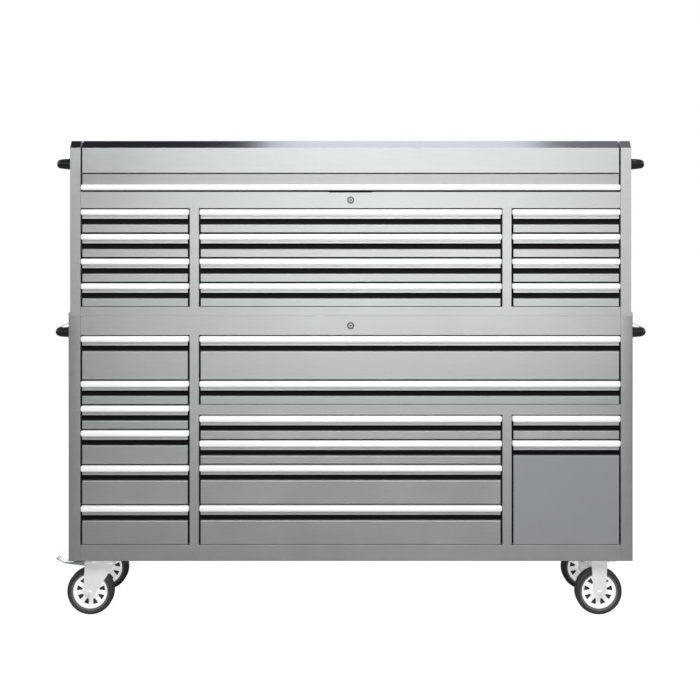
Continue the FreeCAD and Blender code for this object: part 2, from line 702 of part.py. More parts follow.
def lock_lines(which):
    """Front plane of the rail, height of the lock, for one of the two units."""
    if which == "cabinet":
        return FRONT, middle_of(CABINET_OPENING_HIGH, CABINET_HIGH)
    return CHEST_FRONT, middle_of(CHEST_OPENING_HIGH, RAIL_HIGH)


CAM_TURN = 45
CAM_SIDE = f"cam_radius * cos({CAM_TURN} deg)"


def make_lock(which):
    """Plug with its keyway, shaft and cam; and the bar whose slot the cam's pin moves in.

    The pin stands half a quarter turn before top centre at rest and ends half a quarter turn past it.
    """
    front, height = lock_lines(which)
    back = plus(front, "lock_length")
    cam_back = plus(back, "cam_thickness")
    bar_back = plus(cam_back, "bar_play", "bar_thickness")
    ring_front = less(front, "lock_ring_stand")
    plug = rod(f"{which}_plug_round", Y, "lock_plug", ("0", height), ring_front, back)
    keyway = block(f"{which}_keyway", ("-cam_thickness / 2", "cam_thickness / 2"),
                   (less(ring_front, "1"), plus(front, "lock_ring_stand")),
                   (less(height, "lock_plug / 2"), plus(height, "lock_plug / 2")))
    cam = rod(f"{which}_cam", Y, "cam_radius + 2 * cam_pin", ("0", height), back, cam_back)
    pin = rod(f"{which}_cam_pin", Y, "cam_pin", (minus(CAM_SIDE), plus(height, CAM_SIDE)), back, bar_back)
    part(f"{which}_lock_plug", cut(f"{which}_plug_keyed", fuse(f"{which}_plug", plug, cam, pin), keyway))

    bar_front = plus(cam_back, "bar_play")
    centre = minus(CAM_SIDE)
    slot_low = plus(height, CAM_SIDE, minus("cam_pin + cam_play"))
    slot_half = "cam_pin + cam_play"
    bar = block(f"{which}_bar_strip", (plus(centre, "-bar_length / 2"), plus(centre, "bar_length / 2")),
                (bar_front, bar_back), (less(height, "bar_height / 2"), plus(height, "bar_height / 2")))
    slot = block(f"{which}_bar_slot", (less(centre, slot_half), plus(centre, slot_half)),
                 (less(bar_front, "1"), plus(bar_back, "1")),
                 (slot_low, plus(height, "cam_radius + cam_pin + cam_play")))
    part(f"{which}_lock_bar", cut(f"{which}_bar", bar, slot))


def lock_guides(which):
    """Two hooks that hang behind the rail and carry the lock bar's lower edge."""
    front, height = lock_lines(which)
    bar_back = plus(front, "lock_length", "cam_thickness", "bar_play", "bar_thickness")
    low = less(height, "bar_height / 2", "bar_play")
    ceiling = less(CABINET_HIGH, "base_steel") if which == "cabinet" else less(RAIL_HIGH, "sheet_steel")
    hooks = []
    for side, sign in SIDES:
        across = mirrored("guide_spacing / 2", "guide_spacing / 2 + guide_width", sign)
        hanger = block(f"{which}_{side}_guide_hanger", across,
                       (plus(bar_back, "bar_play"), plus(bar_back, "bar_play", "sheet_steel")),
                       (less(low, "sheet_steel"), ceiling))
        ledge = block(f"{which}_{side}_guide_ledge", across,
                      (less(bar_back, "bar_thickness"), plus(bar_back, "bar_play")),
                      (less(low, "sheet_steel"), low))
        hooks.append(fuse(f"{which}_{side}_guide", hanger, ledge))
    return hooks


def lock_barrel(which):
    """Ring and threaded barrel fixed in the rail, bored for the plug."""
    front, height = lock_lines(which)
    ring = rod(f"{which}_ring", Y, "lock_ring", ("0", height), less(front, "lock_ring_stand"), front)
    barrel = rod(f"{which}_barrel", Y, "lock_barrel", ("0", height), front,
                 plus(front, "lock_length", minus("bar_play")))
    bore = rod(f"{which}_plug_bore", Y, "lock_plug + running_fit", ("0", height),
               less(front, "2 * lock_ring_stand"), plus(front, "lock_length", "lock_ring_stand"))
    return cut(f"{which}_barrel_bored", fuse(f"{which}_barrel_body", ring, barrel), bore)


def make_locks():
    fixed = []
    for which in ("chest", "cabinet"):
        make_lock(which)
        fixed.append(lock_barrel(which))
        fixed += lock_guides(which)
    part("lock_barrels_and_guides", *fixed)


# ---------------------------------------------------------------- side handles

def handle(name, sign, half, height):
    """Bent tube on two flared legs, running front to back along a side panel."""
    bar_x = plus(half, "handle_stand - handle_radius")
    bend_x = less(bar_x, "handle_bend")
    middle = middle_of(FRONT, BACK)
    reach = "handle_length / 2 - handle_radius"
    solids = [rod(f"{name}_bar", Y, "handle_radius", (signed(bar_x, sign), height),
                  less(middle, reach, "-handle_bend"), plus(middle, reach, "-handle_bend"))]
    for end, way in (("front", -1), ("back", 1)):
        leg_y = plus(middle, f"{way} * ({reach})")
        bend_y = plus(middle, f"{way} * ({reach} - handle_bend)")
        bend = doc.addObject("Part::Torus", f"{name}_{end}_bend")
        bind(bend, "Radius1", "handle_bend")
        bind(bend, "Radius2", "handle_radius")
        bend.Angle3 = 90
        quarter = {(1, 1): 0, (-1, 1): 90, (-1, -1): 180, (1, -1): 270}[(sign, way)]
        turn = FreeCAD.Rotation(FreeCAD.Vector(0, 0, 1), quarter)
        bend.Placement = FreeCAD.Placement(FreeCAD.Vector(), turn)
        bind(bend, "Placement.Base.x", signed(bend_x, sign))
        bind(bend, "Placement.Base.y", bend_y)
        bind(bend, "Placement.Base.z", height)
        leg = doc.addObject("Part::Cone", f"{name}_{end}_leg")
        outward = FreeCAD.Rotation(FreeCAD.Vector(0, 1, 0), 90 * sign)
        leg.Placement = FreeCAD.Placement(FreeCAD.Vector(), outward)
        bind(leg, "Radius1", "handle_foot")
        bind(leg, "Radius2", "handle_radius")
        bind(leg, "Height", less(bend_x, half))
        bind(leg, "Placement.Base.x", signed(half, sign))
        bind(leg, "Placement.Base.y", leg_y)
        bind(leg, "Placement.Base.z", height)
        solids += [bend, leg]
    return fuse(name, *solids)


def signed(place, sign):
    return place if sign > 0 else minus(place)


def make_side_handles():
    for which, half, height in (
        ("chest", CHEST_HALF, plus(CHEST_LOW, "chest_handle_height")),
        ("cabinet", HALF, less(CABINET_HIGH, "cabinet_handle_drop")),
    ):
        part(f"{which}_side_handles", *[
            handle(f"{which}_{side}_handle", sign, half, height) for side, sign in SIDES])


# ---------------------------------------------------------------- casters

PLATE_LOW = less(CABINET_LOW, "plate_thickness")
HEAD_LOW = less(PLATE_LOW, "head_height")
LEG_OUTSIDE = "(fork_inside / 2 + fork_steel)"
SWIVEL_X = minus(less(HALF, "swivel_inset"))
RIGID_X = less(HALF, "rigid_inset")
CASTER_Y = {"front": plus(FRONT, "caster_setback"), "rear": less(BACK, "caster_setback")}


def make_caster_plates():
    """Top plates with their bolt heads, and the kingpins of the two swivel casters."""
    solids = []
    for end, middle_y in CASTER_Y.items():
        for side, middle_x in (("left", SWIVEL_X), ("right", RIGID_X)):
            name = f"{end}_{side}"
            plate_x = (less(middle_x, "plate_length / 2"), plus(middle_x, "plate_length / 2"))
            plate_y = (less(middle_y, "plate_width / 2"), plus(middle_y, "plate_width / 2"))
            solids.append(block(name + "_top_plate", plate_x, plate_y, (PLATE_LOW, CABINET_LOW)))
            for number, (way_x, way_y) in enumerate(((-1, -1), (1, -1), (1, 1), (-1, 1)), start=1):
                bolt = doc.addObject("Part::Prism", f"{name}_bolt_{number}")
                bolt.Polygon = 6
                bind(bolt, "Circumradius", "bolt_head")
                bind(bolt, "Height", "bolt_head / 2")
                bind(bolt, "Placement.Base.x", plus(middle_x, f"{way_x} * (plate_length / 2 - bolt_inset)"))
                bind(bolt, "Placement.Base.y", plus(middle_y, f"{way_y} * (plate_width / 2 - bolt_inset)"))
                bind(bolt, "Placement.Base.z", less(PLATE_LOW, "bolt_head / 2"))
                solids.append(bolt)
        solids.append(rod(f"{end}_kingpin", Z, "kingpin", (SWIVEL_X, middle_y),
                          less(HEAD_LOW, "crown_thickness"), PLATE_LOW))
    part("caster_plates", *solids)


def fork_legs(name, outline, middle_x, middle_y):
    return [
        extrusion(f"{name}_leg_{label}", Y, outline, plus(middle_y, low), plus(middle_y, high),
                  base=(middle_x, "0", "0"))
        for label, low, high in (
            ("near", minus(LEG_OUTSIDE), "-fork_inside / 2"), ("far", "fork_inside / 2", LEG_OUTSIDE))
    ]


def foot_outline(foot_x, top):
    """Lower end of a fork leg around the axle, joined to the corners given for its top."""
    return [
        *top,
        (less(foot_x, "leg_foot"), "wheel_radius"),
        (less(foot_x, "leg_foot / 2"), "wheel_radius - 0.85 * leg_foot"),
        (plus(foot_x, "leg_foot / 2"), "wheel_radius - 0.85 * leg_foot"),
        (plus(foot_x, "leg_foot"), "wheel_radius"),
    ]


def axle(name, x, y):
    return rod(name, Y, "axle_radius", (x, "wheel_radius"),
               less(y, LEG_OUTSIDE, "leg_nut"), plus(y, LEG_OUTSIDE, "leg_nut"))


def drilled(name, fork, x, y):
    hole = rod(name + "_axle_hole", Y, "axle_radius + running_fit", (x, "wheel_radius"),
               less(y, LEG_OUTSIDE, "leg_nut"), plus(y, LEG_OUTSIDE, "leg_nut"))
    return cut(name + "_drilled", fork, hole)


def make_swivel_caster(end):
    """Swivel head and fork on its kingpin, with the pedal's pin, the axle bolt and the brake pedal."""
    middle_y = CASTER_Y[end]
    wheel_x = less(SWIVEL_X, "caster_trail")
    name = f"{end}_left_caster_fork"
    crown_low = less(HEAD_LOW, "crown_thickness")
    pin = (less(SWIVEL_X, "pedal_pivot"), less(CABINET_LOW, "pedal_drop"))
    top = [
        ("head_radius", crown_low),
        ("head_radius", HEAD_LOW),
        ("-pedal_pivot - 2 * pedal_pin", less(PLATE_LOW, "head_height / 2")),
        ("-pedal_pivot - 2 * pedal_pin", less(crown_low, "2 * pedal_pin")),
    ]
    solids = [
        rod(name + "_head", Z, "head_radius", (SWIVEL_X, middle_y), HEAD_LOW, less(PLATE_LOW, "swivel_gap")),
        block(name + "_crown", (less(SWIVEL_X, "head_radius"), plus(SWIVEL_X, "head_radius")),
              (less(middle_y, LEG_OUTSIDE), plus(middle_y, LEG_OUTSIDE)), (crown_low, HEAD_LOW)),
        *fork_legs(name, foot_outline("-caster_trail", top), SWIVEL_X, middle_y),
        rod(name + "_pedal_pin", Y, "pedal_pin", pin,
            less(middle_y, LEG_OUTSIDE), plus(middle_y, LEG_OUTSIDE)),
    ]
    kingpin_hole = rod(name + "_kingpin_hole", Z, "kingpin + running_fit", (SWIVEL_X, middle_y),
                       less(crown_low, "crown_thickness"), PLATE_LOW)
    fork = cut(name + "_bored", fuse(name + "_welded", *solids), kingpin_hole)
    part(name, drilled(name, fork, wheel_x, middle_y), axle(name + "_axle", wheel_x, middle_y))

    name = f"{end}_left_brake_pedal"
    reach = "(pedal_reach - pedal_pivot)"
    outline = [
        ("2 * pedal_pin", "2 * pedal_pin"),
        ("-2 * pedal_pin", "2.5 * pedal_pin"),
        (f"-0.75 * {reach}", "2 * pedal_pin"),
        (f"-{reach}", "pedal_rise"),
        (f"-{reach}", "pedal_rise - pedal_thick"),
        (f"-0.72 * {reach}", "2 * pedal_pin - pedal_thick"),
        ("-2 * pedal_pin", "-2 * pedal_pin"),
        ("2 * pedal_pin", "-2 * pedal_pin"),
    ]
    plate = extrusion(name + "_plate", Y, outline, less(middle_y, "pedal_width / 2"),
                      plus(middle_y, "pedal_width / 2"), base=(pin[0], "0", pin[1]))
    hole = rod(name + "_hole", Y, "pedal_pin + running_fit", pin,
               less(middle_y, "pedal_width"), plus(middle_y, "pedal_width"))
    part(name, cut(name + "_bored", plate, hole))


def make_rigid_forks():
    solids = []
    for end, middle_y in CASTER_Y.items():
        name = f"{end}_right_fork"
        top = [
            ("leg_shoulder", less(PLATE_LOW, "fork_room / 2")),
            ("leg_shoulder", PLATE_LOW),
            ("-leg_shoulder", PLATE_LOW),
            ("-leg_shoulder", less(PLATE_LOW, "fork_room / 2")),
        ]
        crown = block(name + "_crown", (less(RIGID_X, "leg_shoulder"), plus(RIGID_X, "leg_shoulder")),
                      (less(middle_y, LEG_OUTSIDE), plus(middle_y, LEG_OUTSIDE)),
                      (less(PLATE_LOW, "fork_steel"), PLATE_LOW))
        fork = fuse(name, crown, *fork_legs(name, foot_outline("0", top), RIGID_X, middle_y))
        solids += [drilled(name, fork, RIGID_X, middle_y), axle(name + "_axle", RIGID_X, middle_y)]
    part("right_caster_forks", *solids)


def make_wheel(name, x, y):
    """Cast rim with nine windows in its web, and the tyre around it; the axle runs along Y."""
    rim = doc.addObject("PartDesign::Body", name + "_rim")
    bore = "axle_radius + running_fit"
    barrel = "rim_radius - rim_barrel"
    half = "wheel_width / 2 - rim_barrel"
    right = [
        (bore, "hub_width / 2"),
        ("hub_radius", "hub_width / 2"),
        ("hub_radius", "rim_web / 2"),
        (barrel, "rim_web / 2"),
        (barrel, half),
        ("rim_radius", half),
    ]
    section = right + [(radius, minus(place)) for radius, place in reversed(right)]
    revolution = rim.newObject("PartDesign::Revolution", name + "_turned")
    revolution.Profile = outline_sketch(rim, name + "_section", "XZ_Plane", section)
    revolution.ReferenceAxis = (revolution.Profile[0], ["V_Axis"])
    revolution.Angle = 360
    doc.recompute()
    window = [
        ("window_low", "-window_half_low"),
        ("window_high", "-window_half_high"),
        ("window_high", "window_half_high"),
        ("window_low", "window_half_low"),
    ]
    pocket = rim.newObject("PartDesign::Pocket", name + "_window")
    pocket.Profile = outline_sketch(rim, name + "_window_outline", "XY_Plane", window)
    pocket.Midplane = True
    bind(pocket, "Length", "2 * rim_web")
    doc.recompute()
    pattern = rim.newObject("PartDesign::PolarPattern", name + "_windows")
    pattern.Originals = [pocket]
    pattern.Axis = (next(f for f in rim.Origin.OriginFeatures if f.Role == "Z_Axis"), [""])
    pattern.Angle = 360
    pattern.Occurrences = 9
    rim.Tip = pattern
    rim.Placement = FreeCAD.Placement(FreeCAD.Vector(), TURN[Y])
    for axis, place in ((X, x), (Y, y), (Z, "wheel_radius")):
        bind(rim, f"Placement.Base.{axis}", place)

    across = (less(y, "wheel_width / 2"), plus(y, "wheel_width / 2"))
    tread = rod(name + "_tread", Y, "wheel_radius", (x, "wheel_radius"), *across)
    inside = rod(name + "_seat", Y, "rim_radius", (x, "wheel_radius"), *across)
    part(name, rim, cut(name + "_tyre", tread, inside))


def make_wheels():
    for end, y in CASTER_Y.items():
        make_wheel(f"{end}_left_wheel", less(SWIVEL_X, "caster_trail"), y)
        make_wheel(f"{end}_right_wheel", RIGID_X, y)


# ---------------------------------------------------------------- drawers

def slide_bounds(low):
    return plus(low, "slide_rise"), plus(low, "slide_rise", "slide_height")


def pan_back():
    return less(BACK, "sheet_steel", "rear_space")


def welded_pan(name, x, y, z):
    """Floor and four walls of an open pan, each a flat plate of the pan's steel."""
    on_floor = (plus(z[0], "pan_steel"), z[1])
    inside_x = (plus(x[0], "pan_steel"), less(x[1], "pan_steel"))
    return [
        block(name + "_floor", x, y, (z[0], on_floor[0])),
        block(name + "_left_wall", (x[0], inside_x[0]), y, on_floor),
        block(name + "_right_wall", (inside_x[1], x[1]), y, on_floor),
        block(name + "_front_wall", inside_x, (y[0], plus(y[0], "pan_steel")), on_floor),
        block(name + "_rear_wall", inside_x, (less(y[1], "pan_steel"), y[1]), on_floor),
    ]


def make_drawer(name, x, z, front):
    """Pan and liner, the front with its finger recess, the pull, and the slides' inner members."""
    low, high = z
    recess_back = plus(front, "front_depth")
    pan_front = plus(recess_back, "pan_steel")
    nose_high = less(high, "row_gap_above")
    nose_low = less(nose_high, "pull_height")
    lip_low = less(nose_low, "lip_height")
    recess_low = less(lip_low, "recess_height")
    face_low = plus(low, "row_gap_below")
    face_x = (plus(x[0], "face_gap"), less(x[1], "face_gap"))
    nose_x = (plus(x[0], "nose_gap"), less(x[1], "nose_gap"))
    pan_x = (plus(x[0], "slide_space"), less(x[1], "slide_space"))
    pan_low = plus(low, "pan_floor_gap")

    nose = pull_nose(name + "_nose", nose_x, front, recess_back, nose_low, nose_high)
    lip = fuse(
        name + "_lip",
        block(name + "_lip_plate", face_x, (front, plus(front, "sheet_steel")), (lip_low, nose_low)),
        block(name + "_lip_flange", face_x, (front, recess_back), (less(nose_low, "sheet_steel"), nose_low)),
    )
    face = folded(name + "_face", face_x, (front, recess_back), (face_low, recess_low), "sheet_steel", "+y")
    wall = block(name + "_recess_wall", face_x, (recess_back, pan_front), (face_low, nose_high))
    pan = welded_pan(name + "_pan", pan_x, (pan_front, pan_back()), (pan_low, less(high, "pan_rim_gap")))
    inset = "pan_steel + liner_gap"
    liner = block(
        name + "_liner", (plus(pan_x[0], inset), less(pan_x[1], inset)),
        (plus(pan_front, inset), less(pan_back(), inset)),
        (plus(pan_low, "pan_steel"), plus(pan_low, "pan_steel", "liner")),
    )
    slide_low, slide_high = slide_bounds(low)
    play = "slide_steel + slide_play"
    deep = (plus(front, "slide_setback"), less(pan_back(), "slide_short"))
    tall = (plus(slide_low, play), less(slide_high, play))
    members = [
        block(name + "_left_member", (plus(x[0], play), pan_x[0]), deep, tall),
        block(name + "_right_member", (pan_x[1], less(x[1], play)), deep, tall),
    ]
    part(name, nose, lip, face, wall, *pan, liner, *members)


def slide_rails(name, x, z, front):
    """Outer members of one drawer's slides: channels that open towards the pan."""
    slide_low, slide_high = slide_bounds(z[0])
    deep = (plus(front, "slide_setback"), less(pan_back(), "slide_short"))
    through = (less(deep[0], "slide_play"), plus(deep[1], "slide_play"))
    groove_z = (plus(slide_low, "slide_steel"), less(slide_high, "slide_steel"))
    rails = []
    for side, lip_x, groove_x in (
        ("left", (x[0], plus(x[0], "slide_lip")), (plus(x[0], "slide_steel"), plus(x[0], "slide_space"))),
        ("right", (less(x[1], "slide_lip"), x[1]), (less(x[1], "slide_space"), less(x[1], "slide_steel"))),
    ):
        rails.append(cut(
            f"{name}_{side}_rail",
            block(f"{name}_{side}_rail_block", lip_x, deep, (slide_low, slide_high)),
            block(f"{name}_{side}_rail_groove", groove_x, through, groove_z),
        ))
    return rails


LEFT_COLUMN = (minus(OPENING), minus(COLUMN))
MIDDLE_COLUMN = (minus(MIDDLE), MIDDLE)
RIGHT_COLUMN = (COLUMN, OPENING)
WIDE_COLUMN = (minus(MIDDLE), OPENING)


def column(name, x, front, top, bottom, heights):
    """Drawers from the top down; the last one takes what is left above the bottom."""
    rails = []
    high = top
    for number in range(1, len(heights) + 2):
        low = less(high, heights[number - 1]) if number <= len(heights) else bottom
        drawer_name = f"{name}_drawer_{number}"
        make_drawer(drawer_name, x, (low, high), front)
        rails += slide_rails(drawer_name, x, (low, high), front)
        high = low
    return rails


def make_cabinet_drawers():
    low, high = CABINET_OPENING_LOW, CABINET_OPENING_HIGH
    left_rows = ["deep_row", "shallow_row", "shallow_row", "medium_row", "tall_row"]
    rails = column("cabinet_left", LEFT_COLUMN, FRONT, high, low, left_rows)
    rails += column("cabinet_wide", WIDE_COLUMN, FRONT, high, DIVIDER_HIGH, ["deep_row"])
    rails += column("cabinet_middle", MIDDLE_COLUMN, FRONT, DIVIDER_LOW, low,
                    ["shallow_row", "shallow_row", "tall_row"])
    rails += column("cabinet_right", RIGHT_COLUMN, FRONT, DIVIDER_LOW, low, ["shallow_row"])
    part("cabinet_slide_rails", *rails)


def make_chest_drawers():
    rails = []
    rows = ["chest_row"] * 3
    for name, x in (("left", LEFT_COLUMN), ("middle", MIDDLE_COLUMN), ("right", RIGHT_COLUMN)):
        rails += column(f"chest_{name}", x, CHEST_FRONT, CHEST_OPENING_HIGH, CHEST_OPENING_LOW, rows)
    part("chest_slide_rails", *rails)


# ---------------------------------------------------------------- the whole chest

make_cabinet_shell()
make_cabinet_top()
make_cabinet_front_frame()
make_cabinet_partitions()
make_chest_shell()
make_chest_deck()
make_chest_front_frame()
make_chest_partitions()
make_lid()
make_lid_hinge()
make_lid_pull()
make_struts()
make_locks()
make_side_handles()
make_caster_plates()
for end in CASTER_Y:
    make_swivel_caster(end)
make_rigid_forks()
make_wheels()
make_cabinet_drawers()
make_chest_drawers()

doc.recompute()
failed = [thing.Name for thing in doc.Objects if {"Invalid", "Error"} & set(thing.State)]
failed += [thing.Label for thing in parts if thing.Shape.isNull() or not thing.Shape.isValid()]
if failed:
    raise SystemExit("these did not build: " + ", ".join(failed))

os.makedirs("parts", exist_ok=True)
for thing in parts:
    thing.Shape.exportStep(f"parts/{thing.Label}.step")
print(len(parts), "sub-parts,", sum(len(thing.Shape.Solids) for thing in parts), "solids")
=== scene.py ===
"""Rolling tool chest: the visible pieces, their finishes, the studio and the camera, around the CAD frame."""

import math

import bmesh
import bpy
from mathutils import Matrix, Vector


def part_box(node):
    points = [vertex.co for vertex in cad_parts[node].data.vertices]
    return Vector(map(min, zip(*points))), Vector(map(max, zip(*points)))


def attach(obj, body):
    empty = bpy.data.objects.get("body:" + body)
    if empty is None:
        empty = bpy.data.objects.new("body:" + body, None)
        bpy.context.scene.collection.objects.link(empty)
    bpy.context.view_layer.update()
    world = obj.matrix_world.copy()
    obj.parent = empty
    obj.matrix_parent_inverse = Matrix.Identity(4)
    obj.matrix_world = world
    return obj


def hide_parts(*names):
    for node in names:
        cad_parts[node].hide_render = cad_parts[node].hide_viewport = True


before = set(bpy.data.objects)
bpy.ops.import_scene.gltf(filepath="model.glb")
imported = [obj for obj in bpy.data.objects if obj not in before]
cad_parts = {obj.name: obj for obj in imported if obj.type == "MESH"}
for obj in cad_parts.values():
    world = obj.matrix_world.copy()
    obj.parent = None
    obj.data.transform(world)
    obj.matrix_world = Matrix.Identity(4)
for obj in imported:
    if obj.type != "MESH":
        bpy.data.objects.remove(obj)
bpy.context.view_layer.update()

MM = 0.001
LEFT, RIGHT = -1, 1
SIDES = (("left", LEFT), ("right", RIGHT))


# ------------------------------------------------------------------ mesh tools

class Form:
    """Points and faces of one piece in the making, each face with the number of its finish."""

    def __init__(self):
        self.points = []
        self.faces = []
        self.finish = []

    def add(self, points, faces):
        start = len(self.points)
        self.points += [tuple(p) for p in points]
        self.faces += [tuple(start + i for i in face) for face in faces]
        self.finish += [0] * len(faces)
        return self

    def block(self, low, high):
        x0, y0, z0 = low
        x1, y1, z1 = high
        points = [(x, y, z) for z in (z0, z1) for x, y in ((x0, y0), (x1, y0), (x1, y1), (x0, y1))]
        faces = [(3, 2, 1, 0), (4, 5, 6, 7), (0, 1, 5, 4), (1, 2, 6, 5), (2, 3, 7, 6), (3, 0, 4, 7)]
        return self.add(points, faces)

    def prism(self, axis, outline, low, high):
        """Outline in the plane across an axis, run from low to high; ends are closed."""
        count = len(outline)
        points = [place_on(axis, along, u, v) for along in (low, high) for u, v in outline]
        sides = [(i, (i + 1) % count, count + (i + 1) % count, count + i) for i in range(count)]
        ends = [tuple(reversed(range(count))), tuple(range(count, 2 * count))]
        return self.add(points, sides + ends)

    def lathe(self, axis, centre, section, steps=48):
        """Closed section of (radius, along) corners turned once about an axis through centre."""
        count = len(section)
        points = []
        for step in range(steps):
            turn = 2 * math.pi * step / steps
            for radius, along in section:
                u, v = radius * math.cos(turn), radius * math.sin(turn)
                points.append(Vector(place_on(axis, along, u, v)) + Vector(centre))
        faces = []
        for step in range(steps):
            following = (step + 1) % steps
            for i in range(count):
                j = (i + 1) % count
                faces.append((step * count + i, step * count + j,
                              following * count + j, following * count + i))
        return self.add(points, faces)

    def disc_bar(self, axis, centre, radius, low, high, steps=32, edge=0.0):
        """Solid round bar with its two rims eased by edge."""
        ring = [(radius * math.cos(2 * math.pi * k / steps), radius * math.sin(2 * math.pi * k / steps))
                for k in range(steps)]
        narrow = (radius - edge) / radius
        layers = [(low, narrow), (low + edge, 1), (high - edge, 1), (high, narrow)]
        if not edge:
            layers = [(low, 1), (high, 1)]
        points = [Vector(place_on(axis, along, u * scale, v * scale)) + Vector(centre)
                  for along, scale in layers for u, v in ring]
        faces = [(layer * steps + i, layer * steps + (i + 1) % steps,
                  (layer + 1) * steps + (i + 1) % steps, (layer + 1) * steps + i)
                 for layer in range(len(layers) - 1) for i in range(steps)]
        last = (len(layers) - 1) * steps
        faces += [tuple(reversed(range(steps))), tuple(range(last, last + steps))]
        return self.add(points, faces)

    def tube(self, path, radii, steps=20):
        """Round tube through the points of a path, with a radius at each; ends are closed."""
        path = [Vector(p) for p in path]
        side = Vector((0, 0, 1))
        points = []
        for i, point in enumerate(path):
            along = (path[min(i + 1, len(path) - 1)] - path[max(i - 1, 0)]).normalized()
            across = along.cross(side).normalized()
            up = across.cross(along).normalized()
            for step in range(steps):
                turn = 2 * math.pi * step / steps
                points.append(point + radii[i] * (math.cos(turn) * across + math.sin(turn) * up))
        faces = [(i * steps + k, i * steps + (k + 1) % steps,
                  (i + 1) * steps + (k + 1) % steps, (i + 1) * steps + k)
                 for i in range(len(path) - 1) for k in range(steps)]
        last = (len(path) - 1) * steps
        faces += [tuple(reversed(range(steps))), tuple(range(last, last + steps))]
        return self.add(points, faces)


def place_on(axis, along, u, v):
    """Point with its distance along an axis, and the other two coordinates in x, y, z order."""
    return {"x": (along, u, v), "y": (u, along, v), "z": (u, v, along)}[axis]


def rounded(outline, radii, steps=4):
    """Outline whose corners are replaced by arcs; radii holds one radius for each corner."""
    result = []
    count = len(outline)
    for i in range(count):
        here = Vector(outline[i])
        before = (Vector(outline[i - 1]) - here).normalized()
        after = (Vector(outline[(i + 1) % count]) - here).normalized()
        radius = radii[i]
        if radius <= 0:
            result.append(tuple(here))
            continue
        half = math.acos(max(-1, min(1, before.dot(after)))) / 2
        run = radius / math.tan(half)
        middle = here + (before + after).normalized() * radius / math.sin(half)
        start, end = here + before * run - middle, here + after * run - middle
        for step in range(steps + 1):
            arm = start.lerp(end, step / steps).normalized() * radius
            result.append(tuple(middle + arm))
    return result


def piece(name, form, body, nodes, finishes, ease=0.0004, smooth=35.0, segments=2, turn_out=True):
    """Makes one visible piece of a form: finishes set, edges eased, riding on its body."""
    mesh = bpy.data.meshes.new(name)
    mesh.from_pydata([tuple(p) for p in form.points], [], form.faces)
    for finish in finishes:
        mesh.materials.append(finish)
    mesh.polygons.foreach_set("material_index", form.finish)
    if turn_out:
        shape = bmesh.new()
        shape.from_mesh(mesh)
        bmesh.ops.recalc_face_normals(shape, faces=shape.faces)
        shape.to_mesh(mesh)
        shape.free()
    mesh.polygons.foreach_set("use_smooth", [True] * len(mesh.polygons))
    mesh.set_sharp_from_angle(angle=math.radians(smooth))
    obj = bpy.data.objects.new(name, mesh)
    bpy.context.scene.collection.objects.link(obj)
    if ease:
        bevel = obj.modifiers.new("eased edges", "BEVEL")
        bevel.width = ease
        bevel.segments = segments
        bevel.limit_method = "ANGLE"
        bevel.angle_limit = math.radians(smooth)
        bevel.harden_normals = True
    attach(obj, body)
    if nodes:
        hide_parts(*([nodes] if isinstance(nodes, str) else nodes))
    return obj


def eased_copy(name, node, body, finish, ease=0.0004, smooth=35.0, segments=2):
    """A visible piece with the shape of a CAD node: its triangles joined into faces, its edges eased."""
    shape = bmesh.new()
    shape.from_mesh(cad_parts[node].data)
    bmesh.ops.remove_doubles(shape, verts=shape.verts, dist=0.00002)
    bmesh.ops.dissolve_limit(shape, angle_limit=math.radians(0.5), verts=shape.verts, edges=shape.edges)
    form = Form()
    shape.verts.index_update()
    form.add([v.co for v in shape.verts], [[v.index for v in face.verts] for face in shape.faces])
    shape.free()
    return piece(name, form, body, node, [finish], ease, smooth, segments, turn_out=False)


# ------------------------------------------------------------------ finishes

def wire(tree, kind, inputs=None, **settings):
    """New node with its settings, and each named input given a value or joined to a socket."""
    made = tree.nodes.new(kind)
    for key, value in settings.items():
        setattr(made, key, value)
    for key, value in (inputs or {}).items():
        if isinstance(value, bpy.types.NodeSocket):
            tree.links.new(value, made.inputs[key])
        else:
            made.inputs[key].default_value = value
    return made


def blended(tree, factor, first, second):
    """Colour between first and second, by factor."""
    mix = wire(tree, "ShaderNodeMix", {0: factor}, data_type="RGBA")
    for socket, value in ((mix.inputs[6], first), (mix.inputs[7], second)):
        if isinstance(value, bpy.types.NodeSocket):
            tree.links.new(value, socket)
        else:
            socket.default_value = (*value, 1)
    return mix.outputs[2]


def sums(tree, operation, first, second, third=None):
    """Math on values or sockets; multiply-add takes a third."""
    inputs = {0: first, 1: second}
    if third is not None:
        inputs[2] = third
    return wire(tree, "ShaderNodeMath", inputs, operation=operation).outputs[0]


def effect(name, inputs, outputs):
    """Empty shader node group with its named inputs and outputs."""
    tree = bpy.data.node_groups.new(name, "ShaderNodeTree")
    for label, value in inputs:
        tree.interface.new_socket(label, in_out="INPUT", socket_type="NodeSocketFloat").default_value = value
    for label in outputs:
        tree.interface.new_socket(label, in_out="OUTPUT", socket_type="NodeSocketFloat")
    return tree, tree.nodes.new("NodeGroupInput").outputs, tree.nodes.new("NodeGroupOutput").inputs


def noise_on(tree, place, scale, detail=2.0, rough=0.5):
    return wire(tree, "ShaderNodeTexNoise",
                {"Vector": place, "Scale": scale, "Detail": detail, "Roughness": rough})


